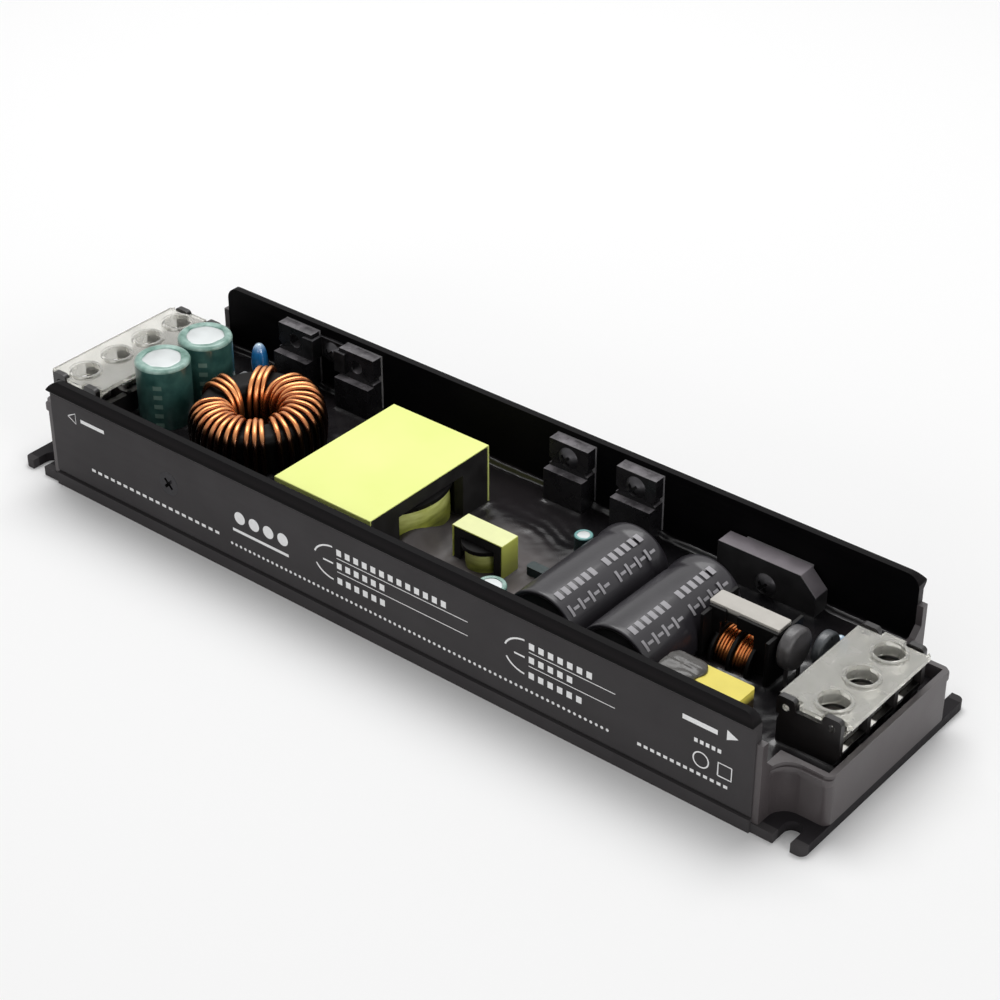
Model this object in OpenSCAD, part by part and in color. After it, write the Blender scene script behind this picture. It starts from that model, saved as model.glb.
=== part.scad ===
// Slim LED driver with its top cover off: an aluminium channel, two moulded end caps,
// terminal blocks with clear flip covers, and a potted circuit board with its parts.
// X runs along the channel from the output end to the input end, +Y is the back wall, +Z is up.

/* [Channel] */
// Length of the two side walls
wall_len = 186; // [180:1:210]
// Width over the flat outer faces of the walls
case_w = 57; // [56:0.5:64]
// Height of the walls
case_h = 26.6; // [26:0.2:34]
// Thickness of the side walls
wall_t = 1.8; // [1.6:0.1:2]
// Thickness of the base plate
base_t = 2.2; // [1.6:0.1:3]
// Length of the base plate beyond the walls at each end
ear_len = 11.6; // [11:0.1:14]
// Reach of the top lip beyond the wall face
lip_out = 1.2; // [0.6:0.1:2]
// Height of the bevel on the top lip
lip_bevel_h = 1.8; // [1:0.1:2.4]
// Height of the lip's outer edge
lip_edge_h = 0.3; // [0.2:0.1:0.8]
// Reach of the foot strip beyond the wall face
foot_out = 0.5; // [0.2:0.1:1]
// Height of the foot strip
foot_h = 3; // [2:0.2:5]
// Height of the groove above the foot strip
groove_h = 0.6; // [0.4:0.1:1.2]
// Depth of the groove above the foot strip
groove_d = 0.4; // [0.2:0.1:0.6]
// Radius of the walls' top corners
corner_r = 3; // [1:0.5:5]
// Width of the inner ledges that carry the circuit board
ledge_w = 1.6; // [1:0.1:2.5]
// Height of the inner ledges
ledge_h = 1.2; // [0.8:0.1:2]

/* [Mounting notches] */
// Width of a mounting notch
notch_w = 3.8; // [3:0.1:5]
// Depth of a mounting notch
notch_depth = 5.6; // [4:0.1:7]
// Distance from a wall's end to the notch centre
notch_out = 6.8; // [5.5:0.1:8]
// Radius of the base plate's corners
plate_r = 1.5; // [0.5:0.1:2]

/* [End caps] */
// Half width of the end cap's tray
cap_half_w = 21; // [20.9:0.1:22]
// Height of the tray's top above the floor
cap_h = 13.8; // [13:0.2:14]
// Thickness of the tray's walls
cap_wall = 1.2; // [0.8:0.1:1.3]
// Thickness of the flange on the channel's end
flange_t = 1.4; // [1:0.1:2]
// Gap between the flange's outer edge and the wall's outer face
flange_gap = 0.3; // [0.1:0.1:1]
// Radius between the flange and the tray
cap_fillet_r = 4; // [2:0.5:5]
// Radius of the tray's outer corners
cap_corner_r = 1.6; // [0.6:0.1:2]
// Height of the wings beside the channel walls
wing_h = 20.4; // [16:0.2:24]
// Width of the wings beside the channel walls
wing_w = 1.6; // [1.2:0.1:3]
// Height and reach of the slope at the wings' feet
wing_foot = 2; // [1:0.2:3]
// Reach of the rim round the tray
rim_out = 0.6; // [0.2:0.1:1]
// Height of the rim
rim_h = 1.4; // [0.8:0.1:2.5]
// Distance from the tray's top down to the rim
rim_drop = 0.8; // [0.4:0.1:1.4]

/* [Board and potting] */
// Thickness of the circuit board
pcb_t = 1.6; // [1:0.1:2.4]
// Gap around the circuit board
pcb_gap = 0.3; // [0.2:0.1:0.6]
// Thickness of the insulating sheet
sheet_t = 0.3; // [0.2:0.1:0.6]
// Depth of the potting compound over the board
pot_depth = 6; // [4.8:0.2:6.4]
// Clearance between the potting and what it surrounds
pot_fit = 0.05; // [0.02:0.01:0.1]

/* [Terminal blocks] */
// Ways of the input block
input_ways = 3; // [2:1:3]
// Ways of the output block
output_ways = 4; // [2:1:4]
// Pitch of the ways
way_pitch = 9.5; // [8.6:0.1:9.5]
// Thickness of the walls between the ways
divider_t = 1.3; // [1:0.1:1.6]
// Height of a block's base above the board
block_base_h = 8; // [7:0.2:10]
// Height of the back wall over the base
block_back_h = 3; // [2:0.1:3.2]
// Height of the dividers over the base
divider_h = 6.2; // [5.8:0.1:7]
// Thickness of the back wall
block_back_t = 1.6; // [1:0.1:2]
// Half width of an ear
ear_r = 2; // [1.8:0.1:2.2]
// Height of an ear's top above the pin
ear_top = 2.2; // [1.8:0.1:2.3]
// Radius of an ear's top corners
ear_round = 0.9; // [0.6:0.1:1.2]
// Radius of the cover's hinge pins
pin_r = 0.75; // [0.6:0.05:0.9]
// Radial clearance of the pins
pin_fit = 0.05; // [0.03:0.01:0.08]

// Inset of a block's back from the cover's inner edge
block_inset = 0.6; // [0.4:0.1:1]
// Inset of a block's front from the cover's outer edge
block_front_in = 2.6; // [2.2:0.1:3]
// Inset of the dividers' front from the cover's outer edge
divider_front_in = 1.6; // [1.2:0.1:2]
// Inset of the outer ears from the cover's outer edge
outer_ear_in = 3.6; // [3.4:0.1:4]

/* [Terminal covers] */
// Width of a cover along the channel
cover_w = 15.8; // [15.4:0.1:16.4]
// Gap between a cover's outer edge and the base plate's end
cover_gap = 0.8; // [0.5:0.1:1.2]
// Thickness of a cover
cover_t = 1; // [0.8:0.1:1.4]
// Gap between a cover and the dividers
cover_lift = 0.6; // [0.5:0.1:0.8]
// Distance of the hinge pins from the inner edge
hinge_in = 2.3; // [2:0.1:2.4]
// Distance of the screws from the outer edge
screw_in = 6.6; // [6.2:0.1:7]
// Radius of a screwdriver hole
driver_hole_r = 3.1; // [2.6:0.1:3.2]
// Wall of the collar round a screwdriver hole
collar_t = 0.7; // [0.5:0.1:0.8]
// Cut across a cover's outer corners
cover_corner = 1.2; // [0.6:0.1:1.6]
// Rise of a collar over the cover
collar_rise = 0.4; // [0.2:0.1:0.8]
// Drop of a collar below the cover
collar_drop = 1.9; // [1:0.1:2]

/* [Terminal hardware] */
// Radius of a terminal screw's head
term_head_r = 2.9; // [2.4:0.1:3]
// Height of a terminal screw's head
term_head_h = 2.2; // [1.6:0.1:2.3]
// Radius of a terminal screw's shank
term_shank_r = 1.6; // [1.2:0.1:1.7]
// Length of a terminal screw's shank
term_shank_len = 6; // [4:0.5:7]
// Side of the square clamp
clamp_side = 7.2; // [6:0.1:7.4]
// Thickness of the square clamp
clamp_t = 1.2; // [0.8:0.1:1.3]
// Thickness of the contact plate
contact_t = 0.8; // [0.6:0.1:1]
// Gap between the clamp and the contact plate
clamp_gap = 0.2; // [0.1:0.05:0.3]

/* [Electrolytic capacitors] */
// Diameter of the output capacitors
output_cap_d = 12.5; // [10:0.5:12.8]
// Height of the output capacitors
output_cap_h = 21.4; // [16:0.1:21.5]
// Distance from the output end of the walls to the output capacitors
output_cap_in = 11.8; // [11.5:0.1:13]
// Distance between the output capacitors' axes
output_cap_pitch = 13.2; // [12.9:0.1:14]
// Depth position of the output pair
output_cap_y = 1; // [-1:0.1:2]
// Diameter of the bulk capacitors
bulk_d = 17.5; // [15:0.5:19]
// Length of the bulk capacitors
bulk_len = 32; // [25:0.5:33]
// Diameter of the auxiliary capacitor
aux_cap_d = 6.3; // [5:0.1:6.5]
// Height of the auxiliary capacitor
aux_cap_h = 17; // [11:0.5:19]
// Diameter of the signal capacitor
signal_cap_d = 4; // [3:0.1:5]
// Height of the signal capacitor
signal_cap_h = 10.4; // [8:0.1:13]

/* [Output choke] */
// Outer diameter of the choke's core
choke_od = 27; // [24:0.5:27.5]
// Inner diameter of the choke's core
choke_id = 14; // [13.6:0.2:15]
// Height of the choke's core
choke_core_h = 11; // [9:0.5:12]
// Diameter of the choke's wire
choke_wire_d = 1.2; // [1:0.05:1.2]
// Height of the winding's underside above the board
choke_lift = 3.2; // [2:0.1:4]
// Distance from the output end of the walls to the choke's axis
choke_in = 35; // [34.5:0.1:38]
// Radius of the core's edges
choke_edge_r = 1.8; // [1:0.1:2]
// Slant of the turns
choke_slant = 9; // [0:1:12]

/* [Main transformer] */
// Width of the transformer's core
tr_w = 26.5; // [24:0.5:27.5]
// Length of the transformer's core
tr_len = 36.7; // [34:0.1:37]
// Height of the transformer's core
tr_h = 19.7; // [17:0.1:21]
// Thickness of the core's plates
tr_plate = 3.1; // [2.6:0.1:5]
// Radius of the winding
tr_winding_r = 14; // [12.5:0.1:14.2]
// Reach of the bobbin's flanges over the winding
tr_flange_out = 0.6; // [0.3:0.1:1]
// Radius of the core's centre post
tr_post_r = 6.5; // [5:0.1:7]
// Thickness of the tape
tape_t = 0.3; // [0.2:0.05:0.5]

/* [Auxiliary transformer] */
// Width of the auxiliary core
aux_w = 5.2; // [4.6:0.1:5.6]
// Length of the auxiliary core
aux_len = 12.6; // [11.6:0.1:13.2]
// Height of the auxiliary core
aux_h = 13.6; // [11:0.1:15]
// Thickness of the auxiliary core's plates
aux_plate = 2; // [1.6:0.1:3]
// Radius of the auxiliary winding
aux_winding_r = 4.3; // [3.8:0.1:4.5]
// Radius of the auxiliary core's post
aux_post_r = 1.9; // [1.5:0.1:2.1]

/* [Line filter] */
// Length of the line choke
line_len = 15.8; // [14:0.1:16]
// Height of the line choke above the board
line_h = 17.4; // [15:0.1:19]
// Overhang of the line choke's bar at its output end
line_bar_over = 0.6; // [0.3:0.1:0.8]
// Section of the line choke's core
line_core_s = 4.4; // [4:0.1:5]
// Radius of the line choke's bobbin flanges
line_flange_r = 6; // [5.6:0.1:6.2]
// Thickness of the line choke's bobbin walls
line_bobbin_t = 0.8; // [0.6:0.1:1]
// Depth of the line choke's windings under the flange edge
line_winding_in = 0.6; // [0.3:0.1:1]
// Length of the film capacitor
xcap_len = 18; // [15:0.5:18.5]
// Width of the film capacitor
xcap_w = 8; // [6:0.5:8.5]
// Height of the film capacitor
xcap_h = 17; // [12:0.5:19]
// Radius of the thermistor disc
disc_r = 4.5; // [3.5:0.1:4.8]
// Thickness of the thermistor disc
disc_t = 3; // [2:0.1:3.4]
// Radius of the varistor disc
varistor_r = 3.8; // [3:0.1:4]
// Thickness of the varistor disc
varistor_t = 2.4; // [1.6:0.1:2.6]
// Radius of the output dipped capacitor
dip_r = 2.1; // [1.6:0.1:2.3]
// Height of the output dipped capacitor's top above the board
dip_h = 13.4; // [11:0.1:15]
// Radius of the input dipped capacitor
input_dip_r = 1.7; // [1.4:0.1:2]
// Height of the input dipped capacitor's top above the board
input_dip_h = 10.8; // [9:0.1:13]

/* [Power devices] */
// Width of a transistor
device_w = 10.2; // [8:0.1:10.6]
// Height of a transistor's body
device_h = 15.9; // [14:0.1:16.2]
// Thickness of a transistor's body
device_t = 4.6; // [4:0.1:5]
// Thickness of a transistor's tab
device_tab_t = 2.6; // [2:0.1:3]
// Height of a transistor's tab
device_tab_h = 6.7; // [6.4:0.1:7.2]
// Height of a transistor's underside above the board
device_lift = 4.4; // [3:0.1:5]
// Distance from a transistor's top to its hole
device_hole_in = 3.3; // [3.1:0.1:3.5]
// Width of the bridge rectifier
bridge_w = 23.8; // [21:0.1:24.4]
// Height of the bridge rectifier
bridge_h = 14; // [12:0.1:15]
// Thickness of the bridge rectifier
bridge_t = 4.4; // [3.6:0.1:4.8]
// Chamfer on the bridge rectifier's corner
bridge_chamfer = 4; // [2:0.1:4.2]
// Thickness of the pads behind the power devices
pad_t = 0.5; // [0.2:0.1:0.8]
// Pitch of a transistor's legs
leg_pitch = 2.54; // [2.2:0.01:2.6]
// Width of a transistor's legs
leg_w = 0.8; // [0.6:0.1:1]
// Thickness of a transistor's legs
leg_t = 0.5; // [0.4:0.1:0.6]
// Distance from a transistor's back to its legs
leg_in = 2.4; // [2:0.1:2.8]
// Pitch of the bridge rectifier's legs
bridge_leg_pitch = 5; // [4:0.1:6]
// Distance from the bridge rectifier's top to its hole
bridge_hole_in = 5.7; // [5:0.1:6]
// Reach of the clip's arms over the devices
clip_lap = 2.2; // [1.5:0.1:2.6]
// Gap between the clip and the devices beside it
clip_gap = 0.25; // [0.1:0.05:0.5]
// Thickness of the clip's spring steel
clip_t = 0.8; // [0.5:0.1:1]

/* [Wall fasteners] */
// Radius of a wall screw's shank
screw_r = 1.5; // [1.2:0.05:1.5]
// Radius of a countersunk head
screw_head_r = 2.8; // [2.6:0.1:3]
// Height of a countersunk head
screw_head_h = 1.3; // [1:0.1:1.4]
// Radius of a round head
button_r = 2.5; // [2.2:0.1:2.6]
// Height of a round head
button_h = 1.4; // [1:0.1:1.6]
// Width of a nut across its flats
nut_af = 5.5; // [5:0.1:5.6]
// Height of a nut
nut_h = 2.4; // [1.8:0.1:2.6]

/* [Places] */
// Distance from the output end of the walls to the output dipped capacitor
output_dip_in = 14; // [13.6:0.1:16]
// Distance from the output end of the walls to the film block
film_block_in = 15.5; // [15:0.1:17]
// Gap across the channel between the film block and the output capacitors
film_block_gap = 0.65; // [0.4:0.05:1]
// Distance from the output end of the walls to the first rectifier
rectifier_in = 24.3; // [23.5:0.1:26]
// Distance between the rectifiers
rectifier_pitch = 18.7; // [18.4:0.1:20]
// Distance from the output end of the walls to the front wall's screw
front_screw_in = 36.1; // [34:0.1:38]
// Distance from the channel's middle to the main transformer, towards the output
tr_out = 16.5; // [15.5:0.1:17]
// Distance from the channel's middle to the main transformer, towards the front
tr_front = 5.1; // [4.4:0.1:5.6]
// Distance from the channel's middle to the auxiliary transformer, towards the input
aux_in = 10.6; // [10:0.1:11]
// Distance from the channel's middle to the auxiliary transformer, towards the front
aux_front = 4.6; // [3:0.1:6]
// Distance from the channel's middle to the first switching transistor
transistor_in = 10; // [9:0.1:11]
// Distance between the switching transistors
transistor_pitch = 17.6; // [16:0.1:18.4]
// Distance from the input end of the walls to the line choke
line_in = 14.2; // [14:0.1:15]
// Distance from the channel's middle to the line choke, towards the back
line_back = 2.6; // [2:0.1:4]
// Gap between the bulk capacitors and the front wall
bulk_gap_y = 7.9; // [7.5:0.1:9]
// Gap between the bulk capacitors
bulk_gap_x = 0.2; // [0.1:0.05:0.5]
// Gap between the bulk capacitors and the line choke
bulk_line_gap = 0.25; // [0.2:0.05:0.5]
// Gap between the auxiliary capacitor and the front wall
aux_cap_gap = 1.75; // [1.4:0.05:2]
// Overlap along the channel of the auxiliary capacitor and the first bulk capacitor
aux_cap_lap = 2; // [1:0.1:2.2]
// Gap along the channel between the signal and the first bulk capacitor
signal_gap = 1.6; // [1:0.1:3]
// Distance from the channel's middle to the signal capacitor, towards the back
signal_back = 11; // [9:0.1:13]
// Gap along the channel between the snubber and the first bulk capacitor
snubber_gap = 2.9; // [1.5:0.1:2.9]
// Distance from the channel's middle to the snubber, towards the front
snubber_front = 1.5; // [0:0.1:3]
// Distance from the input end of the walls to the film capacitor
xcap_in = 8.3; // [8:0.1:9]
// Gap between the film capacitor and the front wall
xcap_gap = 2.3; // [1.5:0.1:3]
// Gap between the thermistor and the line choke
disc_gap = 0.6; // [0.4:0.1:1]
// Distance from the channel's middle to the thermistor, towards the back
disc_back = 2.2; // [1:0.1:3]
// Height of the thermistor's middle above the board
disc_rise = 13.5; // [12:0.1:14]
// Gap between the thermistor and the varistor
varistor_gap = 0.8; // [0.4:0.1:1]
// Distance from the channel's middle to the varistor, towards the back
varistor_back = 8; // [7:0.1:9]
// Height of the varistor's middle above the board
varistor_rise = 11.5; // [11:0.1:12]
// Distance from the input end of the walls to the input dipped capacitor
input_dip_in = 9.1; // [8.4:0.1:9.6]
// Gap between the varistor and the input dipped capacitor
input_dip_gap = 0.8; // [0.3:0.1:1]
// Distance from the input end of the walls to the bridge rectifier's middle
bridge_in = 31.5; // [30:0.1:33]

/* [Hidden] */
$fn = 48;
CLEAR = 0.1;
CUT = 1;
LEAD_R = 0.4;

in_end = wall_len/2;
out_end = -wall_len/2;
wall_out = case_w/2;
wall_in = wall_out - wall_t;
base_half = wall_len/2 + ear_len;
pcb_bottom = base_t + ledge_h;
pcb_top = pcb_bottom + pcb_t;
pot_top = pcb_top + pot_depth;
tray_in_y = cap_half_w - cap_wall;
tray_end_x = base_half - cap_wall;
floor_t = ledge_h;

// Terminal blocks, measured along +X from the centre
cover_out_x = base_half - cover_gap;
cover_in_x = cover_out_x - cover_w;
hinge_x = cover_in_x + hinge_in;
outer_ear_x = cover_out_x - outer_ear_in;
term_screw_x = cover_out_x - screw_in;
block_in_x = cover_in_x + block_inset;
block_front_x = cover_out_x - block_front_in;
divider_front_x = cover_out_x - divider_front_in;
block_floor_z = pcb_top + block_base_h;
divider_z = block_floor_z + divider_h;
pin_z = divider_z;
ear_play = 0.8;
cover_z = divider_z + cover_lift;
collar_r = driver_hole_r + collar_t;
// Reach of the cover's inner edge round the pins
swing_r = norm([hinge_in, cover_lift + cover_t]) + 0.15;
clamp_z = block_floor_z + contact_t + clamp_gap;

// Parts anchored to the output end
output_cap_x = out_end + output_cap_in;
choke_x = out_end + choke_in;
choke_turn_gap = 0.1;
wire_r = choke_wire_d/2;
choke_z = pcb_top + choke_lift;
choke_core_z = choke_z + choke_wire_d + choke_turn_gap;
choke_out_r = choke_od/2 + choke_turn_gap + choke_wire_d;
choke_in_r = choke_id/2 - choke_turn_gap - choke_wire_d;
bend_r = choke_edge_r + choke_turn_gap + wire_r;
// Groups of turns as start angle, step and count, counted from +X
turn_step = 11.4;
turn_groups = [
    [116, turn_step, 3],
    [164, turn_step, 3],
    [204, turn_step, 8],
    [303, turn_step, 3],
    [339, turn_step, 10]];
film_block_size = [4, 3, 8];
film_block_y = output_cap_y + output_cap_pitch/2 + output_cap_d/2 + film_block_gap;
film_block_pos = [out_end + film_block_in, film_block_y + film_block_size[1]/2];
dip_out_pos = [out_end + output_dip_in, (film_block_y + film_block_size[1] + wall_in)/2];
rectifier_x = [out_end + rectifier_in, out_end + rectifier_in + rectifier_pitch];
clip_x = (rectifier_x[0] + rectifier_x[1])/2;
front_screw_x = out_end + front_screw_in;

// Parts anchored to the middle
tr_pos = [-tr_out, -tr_front];
aux_pos = [aux_in, -aux_front];
transistor_x = [transistor_in, transistor_in + transistor_pitch];

// Parts anchored to the input end
line_x1 = in_end - line_in;
line_x0 = line_x1 - line_len;
line_y = line_back;
bulk_r = bulk_d/2;
bulk_z = pcb_top + bulk_r;
bulk_2_x = line_x0 - bulk_line_gap - bulk_r;
bulk_x = [bulk_2_x - bulk_d - bulk_gap_x, bulk_2_x];
bulk_x0 = bulk_x[0] - bulk_r;
bulk_front_y = -wall_in + bulk_gap_y;
aux_cap_pos = [bulk_x0 + aux_cap_lap - aux_cap_d/2, -wall_in + aux_cap_d/2 + aux_cap_gap];
signal_cap_pos = [bulk_x0 - signal_gap - signal_cap_d/2, signal_back];
snubber_size = [5, 2.4, 8];
snubber_pos = [bulk_x0 - snubber_gap - snubber_size[0]/2, -snubber_front];
xcap_x1 = in_end - xcap_in;
xcap_y0 = -wall_in + xcap_gap;
disc_pos = [line_x1 + disc_gap, disc_back, pcb_top + disc_rise];
varistor_pos = [disc_pos[0] + disc_t + varistor_gap, varistor_back, pcb_top + varistor_rise];
dip_in_pos = [in_end - input_dip_in, varistor_back + varistor_r + input_dip_r + input_dip_gap];
bridge_x = in_end - bridge_in;

device_z = pcb_top + device_lift;
device_top_z = device_z + device_h;
device_hole_z = device_top_z - device_hole_in;
device_back_y = wall_in - pad_t;
bridge_z = pcb_top + 0.4;
bridge_hole_z = bridge_z + bridge_h - bridge_hole_in;
clip_hole_z = device_hole_z - 0.6;
front_device = [8, 3.2, 11];
front_hole_in = 3.8;
front_device_z = pcb_top + 2.1;
front_hole_z = front_device_z + front_device[2] - front_hole_in;
screw_hole_r = screw_r + CLEAR;
nut_fit = 0.02;
screw_tip = 0.8;
// Back wall screws as place along the wall, height and the thickness clamped inside the wall
back_screws = [
    [clip_x, clip_hole_z, clip_t],
    [transistor_x[0], device_hole_z, pad_t + device_tab_t],
    [transistor_x[1], device_hole_z, pad_t + device_tab_t],
    [bridge_x, bridge_hole_z, pad_t + bridge_t]];
front_grip = pad_t + front_device[1];

// Box given by its two corners
module block(p0, p1) { translate(p0) cube(p1 - p0); }

// Upright cylinder from one height to another
module post(r, z0, z1) { translate([0, 0, z0]) cylinder(r = r, h = z1 - z0); }

// Cylinder along +Y from one depth to another
module rod_y(r, y0, y1) { translate([0, y0, 0]) rotate([-90, 0, 0]) cylinder(r = r, h = y1 - y0); }

// What is left of a square corner outside its rounding
module corner_waste(r) {
    difference() {
        square(r + CUT);
        circle(r);
    }
}

// Rectangle centred on the origin with round corners
module round_rect(size, r) {
    difference() {
        square(size, center = true);
        for (sx = [-1, 1], sy = [-1, 1])
            scale_corner(sx, sy) translate([size[0]/2 - r, size[1]/2 - r]) corner_waste(r);
    }
}

// Puts a corner of the first quadrant into another quadrant
module scale_corner(sx, sy) {
    mirror([sx < 0 ? 1 : 0, 0]) mirror([0, sy < 0 ? 1 : 0]) children();
}

// Channel

// Section of the back wall, as depth and height
module wall_section() {
    polygon([[wall_in, 0], [wall_out + foot_out, 0], [wall_out + foot_out, foot_h],
        [wall_out - groove_d, foot_h], [wall_out - groove_d, foot_h + groove_h],
        [wall_out, foot_h + groove_h],
        [wall_out, case_h - lip_bevel_h - lip_edge_h - lip_out],
        [wall_out + lip_out, case_h - lip_bevel_h - lip_edge_h],
        [wall_out + lip_out, case_h - lip_bevel_h],
        [wall_out - 0.2, case_h], [wall_in, case_h]]);
}

// The four mounting notches, open at the plate's edges
module notch_outline() {
    centre_y = wall_out - notch_depth + notch_w/2;
    for (sx = [-1, 1], sy = [-1, 1]) scale_corner(sx, sy) translate([in_end + notch_out, 0]) {
        translate([0, centre_y]) circle(notch_w/2);
        translate([-notch_w/2, centre_y]) square([notch_w, notch_depth]);
    }
}

// Countersunk hole through a wall, seen from outside
module countersink() {
    rod_y(screw_hole_r, wall_in - CUT, wall_out + CUT);
    translate([0, wall_out - screw_head_h, 0]) rotate([-90, 0, 0])
        cylinder(r1 = screw_r + pot_fit, r2 = screw_head_r + pot_fit, h = screw_head_h);
    rod_y(screw_head_r + pot_fit, wall_out, wall_out + CUT);
}

module channel_wall() {
    difference() {
        translate([out_end, 0, 0]) rotate([90, 0, 90]) linear_extrude(wall_len) wall_section();
        for (s = [0, 1]) mirror([s, 0, 0])
            translate([in_end - corner_r, 0, case_h - corner_r]) rotate([90, 0, 0])
                translate([0, 0, -wall_out - lip_out - CUT])
                    linear_extrude(wall_t + lip_out + 2*CUT) corner_waste(corner_r);
    }
    block([out_end, wall_in - ledge_w, base_t], [in_end, wall_in, pcb_bottom]);
}

module case_channel() {
    color("#2b2a2c") difference() {
        union() {
            linear_extrude(base_t) difference() {
                round_rect([2*base_half, case_w], plate_r);
                notch_outline();
            }
            channel_wall();
            mirror([0, 1, 0]) channel_wall();
        }
        for (s = back_screws) translate([s[0], 0, s[1]])
            rod_y(screw_r + nut_fit, wall_in - CUT, wall_out + CUT);
        translate([front_screw_x, 0, front_hole_z]) mirror([0, 1, 0]) countersink();
    }
}

// End caps

// Plan of the input end cap without its hollow
module cap_outline(out) {
    half = cap_half_w + out;
    flange_y = wall_out - flange_gap;
    fillet = min(cap_fillet_r, flange_y - half);
    difference() {
        translate([in_end, -half]) square([ear_len, 2*half]);
        for (s = [0, 1]) mirror([0, s])
            translate([base_half - cap_corner_r, half - cap_corner_r]) corner_waste(cap_corner_r);
    }
    translate([in_end, -flange_y]) square([flange_t, 2*flange_y]);
    for (s = [0, 1]) mirror([0, s]) translate([in_end + flange_t, half]) difference() {
        square(fillet);
        translate([fillet, fillet]) circle(fillet);
    }
}

module end_cap() {
    flange_y = wall_out - flange_gap;
    difference() {
        union() {
            translate([0, 0, base_t]) linear_extrude(cap_h - base_t) cap_outline(0);
            translate([0, 0, cap_h - rim_drop - rim_h]) linear_extrude(rim_h) cap_outline(rim_out);
            translate([in_end, 0, 0]) rotate([90, 0, 90]) linear_extrude(flange_t)
                for (s = [0, 1]) mirror([s, 0])
                    polygon([[tray_in_y, cap_h - CUT], [flange_y, cap_h - CUT], [flange_y, wing_h],
                        [flange_y - wing_w, wing_h], [flange_y - wing_w, cap_h + wing_foot],
                        [flange_y - wing_w - wing_foot, cap_h], [tray_in_y, cap_h]]);
        }
        block([in_end - CUT, -tray_in_y, base_t + floor_t], [tray_end_x, tray_in_y, wing_h]);
    }
}

module input_end_cap() { color("#1c1b1d") end_cap(); }
module output_end_cap() { color("#1c1b1d") mirror([1, 0, 0]) end_cap(); }

// Board and potting

module insulating_sheet() {
    half_y = wall_in - ledge_w - pcb_gap;
    color("#e8e2c8")
        block([out_end + pcb_gap, -half_y, base_t], [in_end - pcb_gap, half_y, base_t + sheet_t]);
}

module circuit_board() {
    half_y = wall_in - pcb_gap;
    tongue_y = tray_in_y - pcb_gap;
    tongue_x = tray_end_x - pcb_gap;
    color("#1f5b35") translate([0, 0, pcb_bottom]) linear_extrude(pcb_t) {
        translate([out_end + pcb_gap, -half_y]) square([wall_len - 2*pcb_gap, 2*half_y]);
        translate([-tongue_x, -tongue_y]) square([2*tongue_x, 2*tongue_y]);
    }
}

// Round well for an upright part
module well(pos, r, z0) {
    translate([pos[0], pos[1], 0]) post(r + pot_fit, z0, pot_top + CUT);
}

// Square well for a part between two plan corners
module box_well(x0, x1, y0, y1) {
    block([x0 - pot_fit, y0 - pot_fit, pcb_top - CUT], [x1 + pot_fit, y1 + pot_fit, pot_top + CUT]);
}

module block_wells() {
    half_in = input_ways*way_pitch/2 + divider_t/2;
    half_out = output_ways*way_pitch/2 + divider_t/2;
    box_well(block_in_x, block_front_x, -half_in, half_in);
    box_well(-block_front_x, -block_in_x, -half_out, half_out);
}

module output_side_wells() {
    for (s = [-1, 1])
        well([output_cap_x, output_cap_y + s*output_cap_pitch/2], output_cap_d/2, pcb_top - CUT);
    translate([choke_x, 0, 0]) difference() {
        post(choke_out_r + pot_fit, choke_z - pot_fit, pot_top + CUT);
        post(choke_in_r - pot_fit, choke_z - CUT, pot_top + 2*CUT);
    }
    well(dip_out_pos, dip_r, pcb_top - CUT);
    box_well(film_block_pos[0] - film_block_size[0]/2, film_block_pos[0] + film_block_size[0]/2,
        film_block_pos[1] - film_block_size[1]/2, film_block_pos[1] + film_block_size[1]/2);
    box_well(front_screw_x - front_device[0]/2, front_screw_x + front_device[0]/2,
        -wall_in - CUT, -wall_in + front_grip);
}

module transformer_wells() {
    box_well(tr_pos[0] - tr_w/2, tr_pos[0] + tr_w/2,
        tr_pos[1] - tr_len/2 - tape_t, tr_pos[1] + tr_len/2 + tape_t);
    well(tr_pos, tr_winding_r + tr_flange_out, pcb_top + tr_plate);
    box_well(aux_pos[0] - aux_len/2 - tape_t, aux_pos[0] + aux_len/2 + tape_t,
        aux_pos[1] - aux_w/2, aux_pos[1] + aux_w/2);
    well(aux_pos, aux_winding_r + tr_flange_out, pcb_top + aux_plate);
}

module input_side_wells() {
    for (x = bulk_x) {
        translate([x, bulk_front_y, bulk_z]) rod_y(bulk_r + pot_fit, -pot_fit, bulk_len + pot_fit);
        for (s = [-1, 1]) well([x + s*bulk_lead_x, bulk_front_y - bulk_lead_y], LEAD_R, pcb_top - CUT);
    }
    well(aux_cap_pos, aux_cap_d/2, pcb_top - CUT);
    well(signal_cap_pos, signal_cap_d/2, pcb_top - CUT);
    box_well(snubber_pos[0] - snubber_size[0]/2, snubber_pos[0] + snubber_size[0]/2,
        snubber_pos[1] - snubber_size[1]/2, snubber_pos[1] + snubber_size[1]/2);
    translate([line_x0, line_y, line_axis_z]) rotate([0, 90, 0])
        cylinder(r = line_flange_r + pot_fit, h = line_len);
    for (x = [line_x0, line_x1 - line_bobbin_t])
        box_well(x, x + line_bobbin_t, line_y - line_flange_r, line_y + line_flange_r);
    box_well(xcap_x1 - xcap_len, xcap_x1, xcap_y0, xcap_y0 + xcap_w);
    for (s = [-1, 1]) {
        well([disc_pos[0] + disc_t/2, disc_pos[1] + s*disc_r/2], LEAD_R, pcb_top - CUT);
        well([varistor_pos[0] + varistor_t/2, varistor_pos[1] + s*varistor_r/2], LEAD_R, pcb_top - CUT);
    }
    well(dip_in_pos, input_dip_r, pcb_top - CUT);
}

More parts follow.
